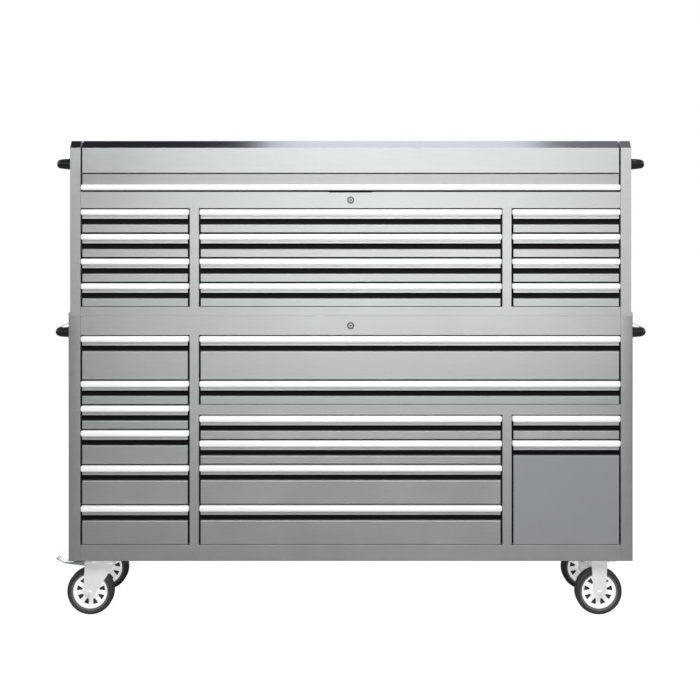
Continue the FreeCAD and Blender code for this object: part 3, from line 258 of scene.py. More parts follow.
def brushing_effect():
    """Long fine strokes: along X on faces turned to the front, back or top, along Y on the two sides."""
    tree, given, out = effect("brushing", [("Fineness", 900), ("Stroke", 12)], ["Streaks"])
    place = wire(tree, "ShaderNodeTexCoord").outputs["Object"]
    parts = wire(tree, "ShaderNodeSeparateXYZ", {0: place}).outputs
    fine = [sums(tree, "MULTIPLY", parts[i], given["Fineness"]) for i in range(3)]
    slow = [sums(tree, "MULTIPLY", parts[i], given["Stroke"]) for i in range(3)]
    front = wire(tree, "ShaderNodeCombineXYZ", {0: slow[0], 1: fine[1], 2: fine[2]}).outputs[0]
    side = wire(tree, "ShaderNodeCombineXYZ", {0: fine[0], 1: slow[1], 2: fine[2]}).outputs[0]
    normal = wire(tree, "ShaderNodeNewGeometry").outputs["Normal"]
    turned = wire(tree, "ShaderNodeSeparateXYZ", {0: normal}).outputs[0]
    sideways = sums(tree, "GREATER_THAN", sums(tree, "ABSOLUTE", turned, 0), 0.7)
    mixed = wire(tree, "ShaderNodeMix", {0: sideways, 4: front, 5: side}, data_type="VECTOR").outputs[1]
    strokes = noise_on(tree, mixed, 1.0, 3.0, 0.6).outputs[0]
    tree.links.new(strokes, out["Streaks"])
    return tree


def handling_effect():
    """Broad soft smudges and a few finer marks, as steel gets from hands and cloths."""
    tree, given, out = effect("handling marks", [("Size", 3), ("Contrast", 0.5)], ["Marks"])
    place = wire(tree, "ShaderNodeTexCoord").outputs["Object"]
    broad = noise_on(tree, place, given["Size"], 3.0, 0.55).outputs[0]
    close = noise_on(tree, place, sums(tree, "MULTIPLY", given["Size"], 14), 4.0, 0.65).outputs[0]
    both = sums(tree, "MULTIPLY_ADD", close, 0.35, sums(tree, "MULTIPLY", broad, 0.65))
    centred = sums(tree, "SUBTRACT", both, 0.5)
    tree.links.new(sums(tree, "MULTIPLY_ADD", centred, given["Contrast"], 0.5), out["Marks"])
    return tree


def coating_effect():
    """Fine unevenness of enamel, plating, plastic or rubber."""
    tree, given, out = effect("coating", [("Size", 400)], ["Height"])
    place = wire(tree, "ShaderNodeTexCoord").outputs["Object"]
    tree.links.new(noise_on(tree, place, given["Size"], 2.0, 0.5).outputs[0], out["Height"])
    return tree


def dust_effect():
    """Faint dust that settles on faces turned up."""
    tree, given, out = effect("settled dust", [("Amount", 0.2)], ["Dust"])
    normal = wire(tree, "ShaderNodeNewGeometry").outputs["Normal"]
    up = wire(tree, "ShaderNodeSeparateXYZ", {0: normal}).outputs[2]
    place = wire(tree, "ShaderNodeTexCoord").outputs["Object"]
    patchy = noise_on(tree, place, 9.0, 5.0, 0.7).outputs[0]
    facing = wire(tree, "ShaderNodeClamp", {0: sums(tree, "MULTIPLY", up, patchy)}).outputs[0]
    tree.links.new(sums(tree, "MULTIPLY", facing, given["Amount"]), out["Dust"])
    return tree


BRUSHING, HANDLING, COATING, DUST = brushing_effect(), handling_effect(), coating_effect(), dust_effect()
DUST_COLOUR = (0.42, 0.41, 0.39)


def finish(name, colour, roughness, metallic=0.0, strokes=0.0, stroke=12.0, fineness=900.0, marks=0.25,
           mark_size=3.0, grain=400.0, grain_height=0.00002, dust=0.12, coat=0.0, specular=0.5, painted_glow=0.0):
    """Material of one finish: colour, strokes or grain, handling marks, settled dust, and a painted glow in
    its own colour where painted_glow is set.
    """
    material = bpy.data.materials.new(name)
    material.use_nodes = True
    material.diffuse_color = (*colour, 1)
    tree = material.node_tree
    surface = tree.nodes["Principled BSDF"]
    surface.inputs["Metallic"].default_value = metallic
    surface.inputs["Coat Weight"].default_value = coat
    surface.inputs["Coat Roughness"].default_value = 0.08
    surface.inputs["Specular IOR Level"].default_value = specular
    # Emission in the finish's own colour: a painted glow that makes the part brighter than the lamps light it.
    surface.inputs["Emission Color"].default_value = (*colour, 1)
    surface.inputs["Emission Strength"].default_value = painted_glow

    def group_of(tree_of, inputs):
        made = tree.nodes.new("ShaderNodeGroup")
        made.node_tree = tree_of
        for label, value in inputs.items():
            made.inputs[label].default_value = value
        return made.outputs[0]

    smudge = group_of(HANDLING, {"Size": mark_size, "Contrast": 1.0})
    if strokes:
        fine = group_of(BRUSHING, {"Fineness": fineness, "Stroke": stroke})
    else:
        fine = group_of(COATING, {"Size": grain})
    light = tuple(min(1.0, c * 1.10) for c in colour)
    dark = tuple(c * 0.88 for c in colour)
    tone = sums(tree, "MULTIPLY_ADD", sums(tree, "SUBTRACT", fine, 0.5), max(strokes, 0.3), smudge)
    body_colour = blended(tree, tone, dark, light)
    settled = group_of(DUST, {"Amount": dust})
    tree.links.new(blended(tree, settled, body_colour, DUST_COLOUR), surface.inputs["Base Color"])
    shift = sums(tree, "SUBTRACT", smudge, 0.5)
    gloss = sums(tree, "MULTIPLY_ADD", shift, marks, roughness)
    gloss = sums(tree, "MULTIPLY_ADD", sums(tree, "SUBTRACT", fine, 0.5), 0.15, gloss)
    gloss = sums(tree, "MULTIPLY_ADD", settled, 0.4, gloss)
    kept = wire(tree, "ShaderNodeClamp", {0: gloss, 1: 0.04, 2: 1.0}).outputs[0]
    tree.links.new(kept, surface.inputs["Roughness"])
    bump = wire(tree, "ShaderNodeBump", {"Height": fine, "Strength": 0.6, "Distance": grain_height})
    tree.links.new(bump.outputs[0], surface.inputs["Normal"])
    return material


PANEL = finish("brushed steel panels", (0.49, 0.508, 0.503), 0.36, metallic=0.7, strokes=1.15, marks=0.32,
               grain_height=0.00003)
FILMED = finish("matt steel door", (0.36, 0.375, 0.39), 0.62, metallic=0.1, strokes=0.25, marks=0.05)
# Pull noses carry a painted glow, so they read white under any light.
PULL = finish("anodised aluminium with painted glow", (0.96, 0.965, 0.97), 0.34, metallic=0.15, strokes=0.15, stroke=5.0,
              dust=0.0, marks=0.1, painted_glow=0.3)
LIP = finish("rolled lip", (0.62, 0.63, 0.625), 0.34, metallic=0.6, strokes=0.6)
STRIP = finish("brushed strip over the lid pull", (0.40, 0.41, 0.407), 0.38, metallic=0.7, strokes=0.8)
# Near-black finish that paints shade: behind the drawer pulls, in the gaps round the lid, on the keyways and
# in the latch slot.
PAINTED_SHADE_BLACK = finish("black painted shade", (0.004, 0.004, 0.0045), 0.6, grain=900.0, specular=0.12, dust=0.0)
INNER = finish("inner grey enamel", (0.22, 0.225, 0.23), 0.45, grain=700.0, grain_height=0.00004, marks=0.15)
LINER_RUBBER = finish("ribbed rubber liner", (0.025, 0.025, 0.027), 0.8, grain=1500.0, grain_height=0.00008,
                      specular=0.3)
ZINC = finish("zinc plate", (0.62, 0.63, 0.64), 0.34, metallic=0.85, grain=500.0, marks=0.3, mark_size=9.0)
CHROME = finish("bright chrome", (0.80, 0.81, 0.82), 0.10, metallic=1.0, marks=0.1, mark_size=8.0)
ENAMEL = finish("black enamel", (0.014, 0.014, 0.016), 0.22, coat=0.6, grain=300.0, marks=0.12)
HANDLE = finish("gloss black handles", (0.012, 0.012, 0.013), 0.18, coat=0.7, grain=250.0, marks=0.1)
TYRE = finish("grey rubber tyre", (0.045, 0.046, 0.048), 0.62, grain=1400.0, grain_height=0.00006, dust=0.25)
# Wheel rims carry a painted glow that brightens them beyond their lighting.
RIM = finish("pale moulded rim with painted glow", (0.93, 0.935, 0.94), 0.38, grain=500.0, coat=0.2, dust=0.02, marks=0.1,
             painted_glow=0.3)
PLUG = finish("satin lock plug", (0.52, 0.525, 0.53), 0.5, metallic=0.4, dust=0.02)
COLLAR = finish("satin lock collar", (0.15, 0.155, 0.16), 0.5, metallic=0.6, dust=0.02)
# Caster forks and plates carry a painted glow, so part of their brightness is painted light.
FORK = finish("bright plated fork with painted glow", (0.93, 0.935, 0.94), 0.30, metallic=0.2, grain=350.0, marks=0.15,
              mark_size=9.0, dust=0.02, painted_glow=0.22)
PLASTIC = finish("black plastic", (0.02, 0.02, 0.022), 0.5, grain=800.0, grain_height=0.00005)
POLISHED = finish("polished dark top", (0.152, 0.158, 0.178), 0.20, metallic=0.95, strokes=0.3, marks=0.1,
                  dust=0.05)
SIDEWALL = finish("lighter tyre band", (0.16, 0.165, 0.17), 0.55, grain=1200.0, dust=0.2)


# ------------------------------------------------------------------ what repeats

def heads_tree():
    """Geometry nodes: a tapered round or six-sided head on every point, standing along one direction."""
    tree = bpy.data.node_groups.new("heads on points", "GeometryNodeTree")
    ports = tree.interface
    ports.new_socket("Geometry", in_out="INPUT", socket_type="NodeSocketGeometry")
    for label, value in (("Foot Radius", 0.004), ("Crown Radius", 0.003), ("Height", 0.002)):
        ports.new_socket(label, in_out="INPUT", socket_type="NodeSocketFloat").default_value = value
    ports.new_socket("Sides", in_out="INPUT", socket_type="NodeSocketInt").default_value = 12
    ports.new_socket("Turn", in_out="INPUT", socket_type="NodeSocketRotation")
    ports.new_socket("Finish", in_out="INPUT", socket_type="NodeSocketMaterial")
    ports.new_socket("Geometry", in_out="OUTPUT", socket_type="NodeSocketGeometry")
    given = tree.nodes.new("NodeGroupInput").outputs
    head = wire(tree, "GeometryNodeMeshCone", {
        "Vertices": given["Sides"], "Radius Top": given["Crown Radius"],
        "Radius Bottom": given["Foot Radius"], "Depth": given["Height"]}).outputs[0]
    points = wire(tree, "GeometryNodeMeshToPoints", {"Mesh": given["Geometry"]}).outputs[0]
    heads = wire(tree, "GeometryNodeInstanceOnPoints", {
        "Points": points, "Instance": head, "Rotation": given["Turn"]}).outputs[0]
    plain = wire(tree, "GeometryNodeRealizeInstances", {"Geometry": heads}).outputs[0]
    done = wire(tree, "GeometryNodeSetMaterial", {"Geometry": plain, "Material": given["Finish"]}).outputs[0]
    tree.links.new(done, tree.nodes.new("NodeGroupOutput").inputs[0])
    return tree


HEADS = heads_tree()
FACING = {"front": (math.pi / 2, 0, 0), "back": (-math.pi / 2, 0, 0), "left": (0, -math.pi / 2, 0),
          "right": (0, math.pi / 2, 0), "up": (0, 0, 0), "down": (math.pi, 0, 0)}


def heads(name, body, places, facing, radius, height, finish_of, slot, sides=16, crown=0.7):
    """One piece that holds every bolt, rivet or knuckle of one kind on one body."""
    mesh = bpy.data.meshes.new(name + "_points")
    mesh.from_pydata([tuple(p) for p in places], [], [])
    host = bpy.data.objects.new(name + "_points", mesh)
    bpy.context.scene.collection.objects.link(host)
    modifier = host.modifiers.new("heads", "NODES")
    modifier.node_group = HEADS
    values = {"Foot Radius": radius, "Crown Radius": radius * crown, "Height": height, "Sides": sides,
              "Turn": FACING[facing], "Finish": finish_of}
    for socket in HEADS.interface.items_tree:
        if socket.in_out == "INPUT" and socket.name in values:
            modifier[socket.identifier] = values[socket.name]
    bpy.context.view_layer.update()
    made = bpy.data.meshes.new_from_object(host.evaluated_get(bpy.context.evaluated_depsgraph_get()))
    bpy.data.objects.remove(host)
    form = Form()
    form.add([v.co for v in made.vertices], [tuple(p.vertices) for p in made.polygons])
    return piece(name, form, body, None, [finish_of], ease=0.0003, smooth=40)


# ------------------------------------------------------------------ sizes

SHEET = 1.5 * MM
PULL_STAND, PULL_HEIGHT = 13 * MM, 18 * MM
LIP_HEIGHT, RECESS_HEIGHT, FRONT_DEPTH = 12.5 * MM, 17.5 * MM, 12 * MM
NOSE_GAP, FACE_GAP = 2.5 * MM, 6 * MM
ROW_ABOVE, ROW_BELOW = 4 * MM, 1.8 * MM
PAN_STEEL, PAN_FLOOR_GAP, PAN_RIM_GAP = 1.2 * MM, 5 * MM, 12 * MM
LINER, LINER_GAP = 2 * MM, 1 * MM
SLIDE_SPACE, SLIDE_HEIGHT, SLIDE_RISE = 12.7 * MM, 36 * MM, 14 * MM
SLIDE_PLAY, SLIDE_SETBACK, SLIDE_SHORT = 3 * MM, 26 * MM, 8 * MM


# ------------------------------------------------------------------ drawers

def nose_section(front, low, high):
    """Closed section of an extruded pull in (y, z): rounded at its tip, with a finger groove below."""
    tip = front - PULL_STAND
    back = front + FRONT_DEPTH
    groove = 1.2 * MM
    outline = [(back, low), (front + 2 * MM, low), (front + 1 * MM, low + groove),
               (tip + 7 * MM, low + groove), (tip + 6 * MM, low), (tip, low), (tip, high), (back, high)]
    radii = [0, 0, 0, 0, 0, 4.5 * MM, 6.5 * MM, 1 * MM]
    return rounded(outline, radii, steps=5)


def nose(form, x, front, low, high):
    """Pull nose between two ends, its end corners rounded off by drawing in the last sections."""
    section = nose_section(front, low, high)
    middle = (front, (low + high) / 2)
    ends = ((0, 0.62), (0.8 * MM, 0.80), (2.2 * MM, 0.93), (4.5 * MM, 1.0))
    stations = [(x[0] + run, scale) for run, scale in ends]
    stations += [(x[1] - run, scale) for run, scale in reversed(ends)]
    count = len(section)
    points = [(along, middle[0] + (y - middle[0]) * (scale if y < front else 1),
               middle[1] + (z - middle[1]) * scale)
              for along, scale in stations for y, z in section]
    faces = [(s * count + i, s * count + (i + 1) % count,
              (s + 1) * count + (i + 1) % count, (s + 1) * count + i)
             for s in range(len(stations) - 1) for i in range(count)]
    last = (len(stations) - 1) * count
    faces += [tuple(reversed(range(count))), tuple(range(last, last + count))]
    return form.add(points, faces)


def lip_section(front, low, high):
    """Closed section of the grip lip in (y, z): a grooved plate, a hem and a flange behind the nose."""
    back = front + FRONT_DEPTH
    middle = low + (high - low) * 0.5
    return [(front, high), (front, middle + 0.9 * MM), (front + 0.7 * MM, middle), (front, middle - 0.9 * MM),
            (front, low + 0.8 * MM), (front + 0.8 * MM, low), (front + 2.6 * MM, low),
            (front + 2.6 * MM, low + 2 * MM), (front + SHEET, low + 2.6 * MM), (front + SHEET, high - SHEET),
            (back, high - SHEET), (back, high)]


def face_form(x, y, z, wall):
    """Folded drawer face: a sheet with returns behind it and a sloping ledge along its top edge."""
    ledge = 2.6 * MM
    section = [(y[1], z[0]), (y[0], z[0]), (y[0], z[1] - ledge), (y[0] + ledge, z[1]), (y[1], z[1]),
               (y[1], z[1] - wall), (y[0] + ledge, z[1] - wall), (y[0] + wall, z[1] - ledge - wall),
               (y[0] + wall, z[0] + wall),
               (y[1], z[0] + wall)]
    form = Form().prism("x", section, *x)
    for low, high in ((x[0], x[0] + wall), (x[1] - wall, x[1])):
        form.block((low, y[0] + wall, z[0] + wall), (high, y[1], z[1] - ledge - wall))
    return form


def pan_form(x, y, z):
    """Open pan of thin steel with a hem turned in along the top of its four walls."""
    hem, deep = 3 * MM, 2.4 * MM
    levels = [(z[0], 0), (z[1], 0), (z[1], hem), (z[1] - deep, hem), (z[1] - deep, PAN_STEEL),
              (z[0] + PAN_STEEL, PAN_STEEL)]
    points = []
    for height, inset in levels:
        points += [(x[0] + inset, y[0] + inset, height), (x[1] - inset, y[0] + inset, height),
                   (x[1] - inset, y[1] - inset, height), (x[0] + inset, y[1] - inset, height)]
    faces = [(0, 1, 2, 3), tuple(20 + i for i in range(4))]
    for level in range(len(levels) - 1):
        for i in range(4):
            j = (i + 1) % 4
            faces.append((level * 4 + i, level * 4 + j, level * 4 + 4 + j, level * 4 + 4 + i))
    return Form().add(points, faces)


def liner_outline(x, z, pitch=9 * MM):
    """Ribbed top of a rubber liner in (x, z)."""
    count = max(2, round((x[1] - x[0]) / pitch))
    step = (x[1] - x[0]) / count
    top, valley = z[1], z[1] - 0.8 * MM
    outline = [(x[0], z[0]), (x[1], z[0])]
    for i in reversed(range(count)):
        start = x[0] + i * step
        outline += [(start + step, top), (start + 0.55 * step, top),
                    (start + 0.45 * step, valley), (start + 0.1 * step, valley)]
    return outline + [(x[0], top)]


def drawer(node, face_finish):
    """All visible pieces of one drawer, inside the room its CAD solids hold."""
    (nose_x0, tip, face_low), (nose_x1, pan_back, nose_high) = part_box(node)
    front = tip + PULL_STAND
    back = front + FRONT_DEPTH
    row_low, row_high = face_low - ROW_BELOW, nose_high + ROW_ABOVE
    opening = (nose_x0 - NOSE_GAP, nose_x1 + NOSE_GAP)
    face_x = (opening[0] + FACE_GAP, opening[1] - FACE_GAP)
    nose_low = nose_high - PULL_HEIGHT
    lip_low = nose_low - LIP_HEIGHT
    face_high = lip_low - RECESS_HEIGHT
    pan_x = (opening[0] + SLIDE_SPACE, opening[1] - SLIDE_SPACE)
    pan_y = (back + PAN_STEEL, pan_back)
    pan_z = (row_low + PAN_FLOOR_GAP, row_high - PAN_RIM_GAP)

    piece(node + "_pull", nose(Form(), (nose_x0, nose_x1), front, nose_low, nose_high), node, node,
          [PULL], ease=0)
    piece(node + "_lip", Form().prism("x", lip_section(front, lip_low, nose_low), *face_x), node, node,
          [LIP], ease=0.0003)
    piece(node + "_face", face_form(face_x, (front, back), (face_low, face_high), SHEET), node, node,
          [face_finish], ease=0.0009, segments=3)
    play = 1.2 * MM
    # Black plate behind the pull, up to the row top: painted shade of the finger recess and of the gap above
    # the nose.
    wall = Form().block((nose_x0 - play, back, face_low), (nose_x1 + play, back + PAN_STEEL, row_high - play))
    piece(node + "_painted_recess_shade", wall, node, node, [PAINTED_SHADE_BLACK], ease=0.0003)
    piece(node + "_pan", pan_form(pan_x, pan_y, pan_z), node, node, [INNER], ease=0.0004)
    inset = PAN_STEEL + LINER_GAP
    liner = Form().prism("y", liner_outline((pan_x[0] + inset, pan_x[1] - inset),
                                            (pan_z[0] + PAN_STEEL, pan_z[0] + PAN_STEEL + LINER)),
                         pan_y[0] + inset, pan_y[1] - inset)
    piece(node + "_liner", liner, node, node, [LINER_RUBBER], ease=0, smooth=20)
    slide_y = (front + SLIDE_SETBACK, pan_back - SLIDE_SHORT)
    slide_z = (row_low + SLIDE_RISE + SLIDE_PLAY, row_low + SLIDE_RISE + SLIDE_HEIGHT - SLIDE_PLAY)
    members = Form()
    for outer, inner in ((opening[0] + SLIDE_PLAY, pan_x[0]), (opening[1] - SLIDE_PLAY, pan_x[1])):
        way = 1 if inner > outer else -1
        groove = [(outer, slide_z[0]), (inner, slide_z[0]), (inner, slide_z[1]), (outer, slide_z[1]),
                  (outer, slide_z[1] - 6 * MM), (outer + way * 4 * MM, slide_z[1] - 9 * MM),
                  (outer + way * 4 * MM, slide_z[0] + 9 * MM), (outer, slide_z[0] + 6 * MM)]
        members.prism("y", groove, *slide_y)
    piece(node + "_slides", members, node, node, [ZINC], ease=0.0004)


for node_name in sorted(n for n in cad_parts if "_drawer_" in n):
    drawer(node_name, FILMED if node_name == "cabinet_right_drawer_2" else PANEL)


# ------------------------------------------------------------------ cabinet, chest and lid

COPIES = (
    ("cabinet_top", "root", INNER, "brushed_panels", 0),
    ("cabinet_partitions", "root", INNER, "brushed_panels", 0),
    ("chest_deck", "root", INNER, "brushed_panels", 0),
    ("chest_partitions", "root", INNER, "brushed_panels", 0),
    ("cabinet_slide_rails", "root", ZINC, "zinc_plate", 0.0003),
    ("chest_slide_rails", "root", ZINC, "zinc_plate", 0.0003),
    ("lock_barrels_and_guides", "root", COLLAR, "bright_chrome", 0.0006),
    ("lid_hinge", "root", ZINC, "zinc_plate", 0.0003),
    ("caster_plates", "root", FORK, "zinc_plate", 0.0009),
    ("right_caster_forks", "root", FORK, "zinc_plate", 0.0010),
    ("lid", "lid", PANEL, "brushed_panels", 0.0008),
    ("front_left_caster_fork", "front_left_caster", FORK, "zinc_plate", 0.0010),
    ("rear_left_caster_fork", "rear_left_caster", FORK, "zinc_plate", 0.0010),
    ("front_left_brake_pedal", "front_left_brake", ZINC, "zinc_plate", 0.0012),
    ("rear_left_brake_pedal", "rear_left_brake", ZINC, "zinc_plate", 0.0012),
    ("chest_lock_plug", "chest_lock_plug", PLUG, "bright_chrome", 0.0004),
    ("cabinet_lock_plug", "cabinet_lock_plug", PLUG, "bright_chrome", 0.0004),
    ("chest_lock_bar", "chest_lock_bar", ZINC, "zinc_plate", 0.0004),
    ("cabinet_lock_bar", "cabinet_lock_bar", ZINC, "zinc_plate", 0.0004),
    ("lid_strut_cylinder_left", "lid_strut_cylinder_left", ENAMEL, "black_enamel", 0.0006),
    ("lid_strut_cylinder_right", "lid_strut_cylinder_right", ENAMEL, "black_enamel", 0.0006),
    ("lid_strut_rod_left", "lid_strut_rod_left", CHROME, "bright_chrome", 0.0005),
    ("lid_strut_rod_right", "lid_strut_rod_right", CHROME, "bright_chrome", 0.0005),
)
for node_name, body_name, main_finish, slot_name, edge in COPIES:
    eased_copy(node_name + "_made", node_name, body_name, main_finish, ease=edge)

def polish_top(mesh):
    """Darker, glossier finish on whatever faces up along the top."""
    mesh.materials.append(POLISHED)
    highest = max(v.co.z for v in mesh.vertices)
    for face in mesh.polygons:
        if face.normal.z > 0.3 and face.center.z > highest - 30 * MM:
            face.material_index = 1


polish_top(bpy.data.objects["lid_made"].data)


def plate_frame(xs, zs, solid, deep):
    """Frame of welded members from a grid of cells: solid(column, row) says which are steel."""
    form = Form()
    columns, rows = len(xs) - 1, len(zs) - 1
    steel = {(i, j) for i in range(columns) for j in range(rows) if solid(i, j)}
    for i, j in steel:
        x0, x1, z0, z1 = xs[i], xs[i + 1], zs[j], zs[j + 1]
        for y in deep:
            form.add([(x0, y, z0), (x1, y, z0), (x1, y, z1), (x0, y, z1)], [(0, 1, 2, 3)])
        for beside, (a, b) in (((i - 1, j), ((x0, z0), (x0, z1))), ((i + 1, j), ((x1, z0), (x1, z1))),
                               ((i, j - 1), ((x0, z0), (x1, z0))), ((i, j + 1), ((x0, z1), (x1, z1)))):
            if beside not in steel:
                form.add([(a[0], deep[0], a[1]), (b[0], deep[0], b[1]),
                          (b[0], deep[1], b[1]), (a[0], deep[1], a[1])], [(0, 1, 2, 3)])
    return form


def welded(form):
    """Joins the doubled corners of a form and merges faces that lie in one plane."""
    mesh = bpy.data.meshes.new("joining")
    mesh.from_pydata(form.points, [], form.faces)
    shape = bmesh.new()
    shape.from_mesh(mesh)
    bmesh.ops.remove_doubles(shape, verts=shape.verts, dist=0.00001)
    bmesh.ops.recalc_face_normals(shape, faces=shape.faces)
    bmesh.ops.dissolve_limit(shape, angle_limit=math.radians(0.5), verts=shape.verts, edges=shape.edges)
    shape.verts.index_update()
    result = Form().add([v.co for v in shape.verts], [[v.index for v in face.verts] for face in shape.faces])
    shape.free()
    return result


OPENING, COLUMN, MIDDLE = 876 * MM, 522 * MM, 492 * MM
FRAME_DEPTH = 20 * MM
COVER = 0.02 * MM


def row_low(node):
    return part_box(node)[0][2] - ROW_BELOW


def row_high(node):
    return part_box(node)[1][2] + ROW_ABOVE


def cabinet_body():
    """Wrap-around side panels, welded front frame, raised corners, back and base of the roller cabinet."""
    (_, front, low), (x1, _, raised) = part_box("cabinet_front_frame")
    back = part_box("cabinet_shell")[1][1]
    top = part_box("cabinet_top")[1][2]
    columns = [-OPENING, -COLUMN, -MIDDLE, MIDDLE, COLUMN, OPENING]
    rows = [low, row_low("cabinet_left_drawer_6"), row_high("cabinet_middle_drawer_1"),
            row_low("cabinet_wide_drawer_2"), row_high("cabinet_left_drawer_1"), top]

    def steel(column, row):
        crossing = row == 2 and column >= 2
        upright = column == 1 or (column == 3 and row < 3)
        return row in (0, 4) or crossing or upright

    frame_form = welded(plate_frame(columns, rows, steel, (front, front + FRAME_DEPTH)))
    piece("cabinet_frame", frame_form, "root", "cabinet_front_frame", [PANEL],
          ease=0.0011, segments=3)
    sides = Form()
    rise, ramp = raised - top, 13 * MM
    for sign in (LEFT, RIGHT):
        half = [(OPENING - COVER, front), (x1, front), (x1, back), (OPENING - COVER, back)]
        outline = rounded(half, [0, 3 * MM, 3 * MM, 0])
        sides.prism("z", [(sign * x, y) for x, y in outline], low, top)
        lip_end = x1 - 30 * MM
        curve = [(lip_end + ramp * k / 10, top + rise * (1 - math.cos(math.pi * k / 10)) / 2)
                 for k in range(11)]
        corner = [*curve, (x1 - 3 * MM, raised), (x1 - 3 * MM, top)]
        sides.prism("y", [(sign * x, z) for x, z in corner], front, front + SHEET)
        wall = rounded([(x1 - 3 * MM, front), (x1, front), (x1, back), (x1 - SHEET, back),
                        (x1 - SHEET, front + SHEET), (x1 - 3 * MM, front + SHEET)],
                       [0, 2.9 * MM, 0, 0, 1.4 * MM, 0])
        sides.prism("z", [(sign * x, y) for x, y in wall], top, raised)
    piece("cabinet_sides", sides, "root", ["cabinet_shell", "cabinet_front_frame"], [PANEL],
          ease=0.0005)
    rear = Form().block((-OPENING, back - SHEET, low), (OPENING, back, top))
    rear.block((-OPENING, front + FRAME_DEPTH, low), (OPENING, back - SHEET, low + 2.5 * MM))
    foot, crest, rib_gap = 0.02, 0.014, 0.44
    for middle in (-rib_gap, 0, rib_gap):
        rear.prism("z", [(middle - foot, back - SHEET), (middle + foot, back - SHEET),
                         (middle + crest, back - 5 * MM), (middle - crest, back - 5 * MM)],
                   low + 0.02, top - 0.02)
    piece("cabinet_back", rear, "root", "cabinet_shell", [PANEL], ease=0.0003)


def chest_body():
    """Side arms with their front chamfer, welded front frame, back and bottom of the top chest."""
    (_, front, low), (x1, _, _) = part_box("chest_front_frame")
    _, (_, back, top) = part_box("chest_shell")
    columns = [-OPENING, -COLUMN, -MIDDLE, MIDDLE, COLUMN, OPENING]
    rows = [low, row_low("chest_left_drawer_4"), row_high("chest_left_drawer_1"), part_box("chest_deck")[1][2]]
    frame_form = welded(plate_frame(columns, rows, lambda column, row: row != 1 or column in (1, 3),
                                    (front, front + FRAME_DEPTH)))
    piece("chest_frame", frame_form, "root", "chest_front_frame", [PANEL],
          ease=0.0011, segments=3)
    drop, run = CHAMFER
    arms = Form()
    for sign in (LEFT, RIGHT):
        outline = [(front, low), (front, top - drop), (front + run, top), (back, top), (back, low)]
        span = sorted((sign * (OPENING - COVER), sign * x1))
        arms.prism("x", outline, *span)
    made = piece("chest_sides", arms, "root", ["chest_shell", "chest_front_frame"], [PANEL],
                 ease=0.0007, segments=3)
    polish_top(made.data)
    rear = Form().block((-OPENING, back - SHEET, low), (OPENING, back, top - 9 * MM))
    rear.block((-OPENING, front + FRAME_DEPTH, low), (OPENING, back - SHEET, low + SHEET))
    piece("chest_back", rear, "root", "chest_shell", [PANEL], ease=0.0003)


CHAMFER = (23.5 * MM, 25 * MM)
cabinet_body()
chest_body()


def lid_pull():
    """Nose and brushed strip along the foot of the lid."""
    (x0, tip, low), (x1, _, high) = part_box("lid_pull")
    front = tip + PULL_STAND
    piece("lid_nose", nose(Form(), (x0, x1), front, low, low + PULL_HEIGHT), "lid", "lid_pull", [PULL],
          ease=0)
    foot = low + PULL_HEIGHT
    strip = Form().prism("x", [(front, foot), (front + SHEET, foot), (front + SHEET, high), (front, high)],
                         x0 + 3.5 * MM, x1 - 3.5 * MM)
    piece("lid_strip", strip, "lid", "lid_pull", [STRIP], ease=0.0006, segments=3)


lid_pull()


def lid_gap_shade():
    """Black strips of painted shade in the gaps beside and under the lid, all on the chest."""
    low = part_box("lid_pull")[0][2]
    (_, front, _), (_, _, high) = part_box("chest_front_frame")
    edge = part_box("lid")[1][0]
    gap_shade = Form()
    for sign in (LEFT, RIGHT):
        span = sorted((sign * (edge + 0.8 * MM), sign * (OPENING - 0.1 * MM)))
        gap_shade.block((span[0], front + 7 * MM, low - 4 * MM), (span[1], front + 11 * MM, high))
    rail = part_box("chest_deck")[1][2]
    # Strip under the lid nose: painted shade in that gap.
    gap_shade.block((-edge, front + 13 * MM, rail - 0.5 * MM), (edge, front + 17 * MM, low - 1 * MM))
    piece("lid_gap_shade", gap_shade, "root", None, [PAINTED_SHADE_BLACK], ease=0.0003)


lid_gap_shade()


def lock_details():
    """Stepped ring round each lock, and a black plate on the turning plug that paints the shade of its keyway.
    """
    for unit in ("chest", "cabinet"):
        low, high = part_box(unit + "_lock_plug")
        x, z = 0.0, (low[2] + high[2]) / 2
        face = low[1]
        front = face + 3 * MM
        outside, crown, step, inside = 11.4 * MM, 10.2 * MM, 8.2 * MM, 7.3 * MM
        ring = Form().lathe("y", (x, 0, z), [
            (outside, front), (outside, front - 1.6 * MM), (crown, face + 0.1 * MM),
            (step, face + 0.1 * MM), (inside, face + 1.2 * MM), (inside, front)])
        piece(unit + "_lock_ring", ring, "root", "lock_barrels_and_guides", [COLLAR],
              ease=0.0002)
        # Keyway shown as a thin near-black plate: painted shade of the slot.
        half_long, half_high = 4.6 * MM, 0.9 * MM
        slot = Form().block((x - half_long, face - 0.12 * MM, z - half_high),
                            (x + half_long, face + 0.3 * MM, z + half_high))
        slot.disc_bar("y", (x, 0, z), 1.7 * MM, face - 0.1 * MM, face + 0.3 * MM, steps=20)
        piece(unit + "_keyway_shade", slot, unit + "_lock_plug", None, [PAINTED_SHADE_BLACK], ease=0)


lock_details()


def latch_slot_shade():
    """Black plate on the front of the rail under the lid that paints the shade of the latch slot."""
    half = 70 * MM
    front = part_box("chest_front_frame")[0][1]
    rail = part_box("chest_deck")[1][2]
    slot = Form().block((-half, front - 0.12 * MM, rail - 2.2 * MM),
                        (half, front + 1.5 * MM, rail - 0.2 * MM))
    piece("latch_slot_shade", slot, "root", None, [PAINTED_SHADE_BLACK], ease=0)


latch_slot_shade()


# ------------------------------------------------------------------ side handles

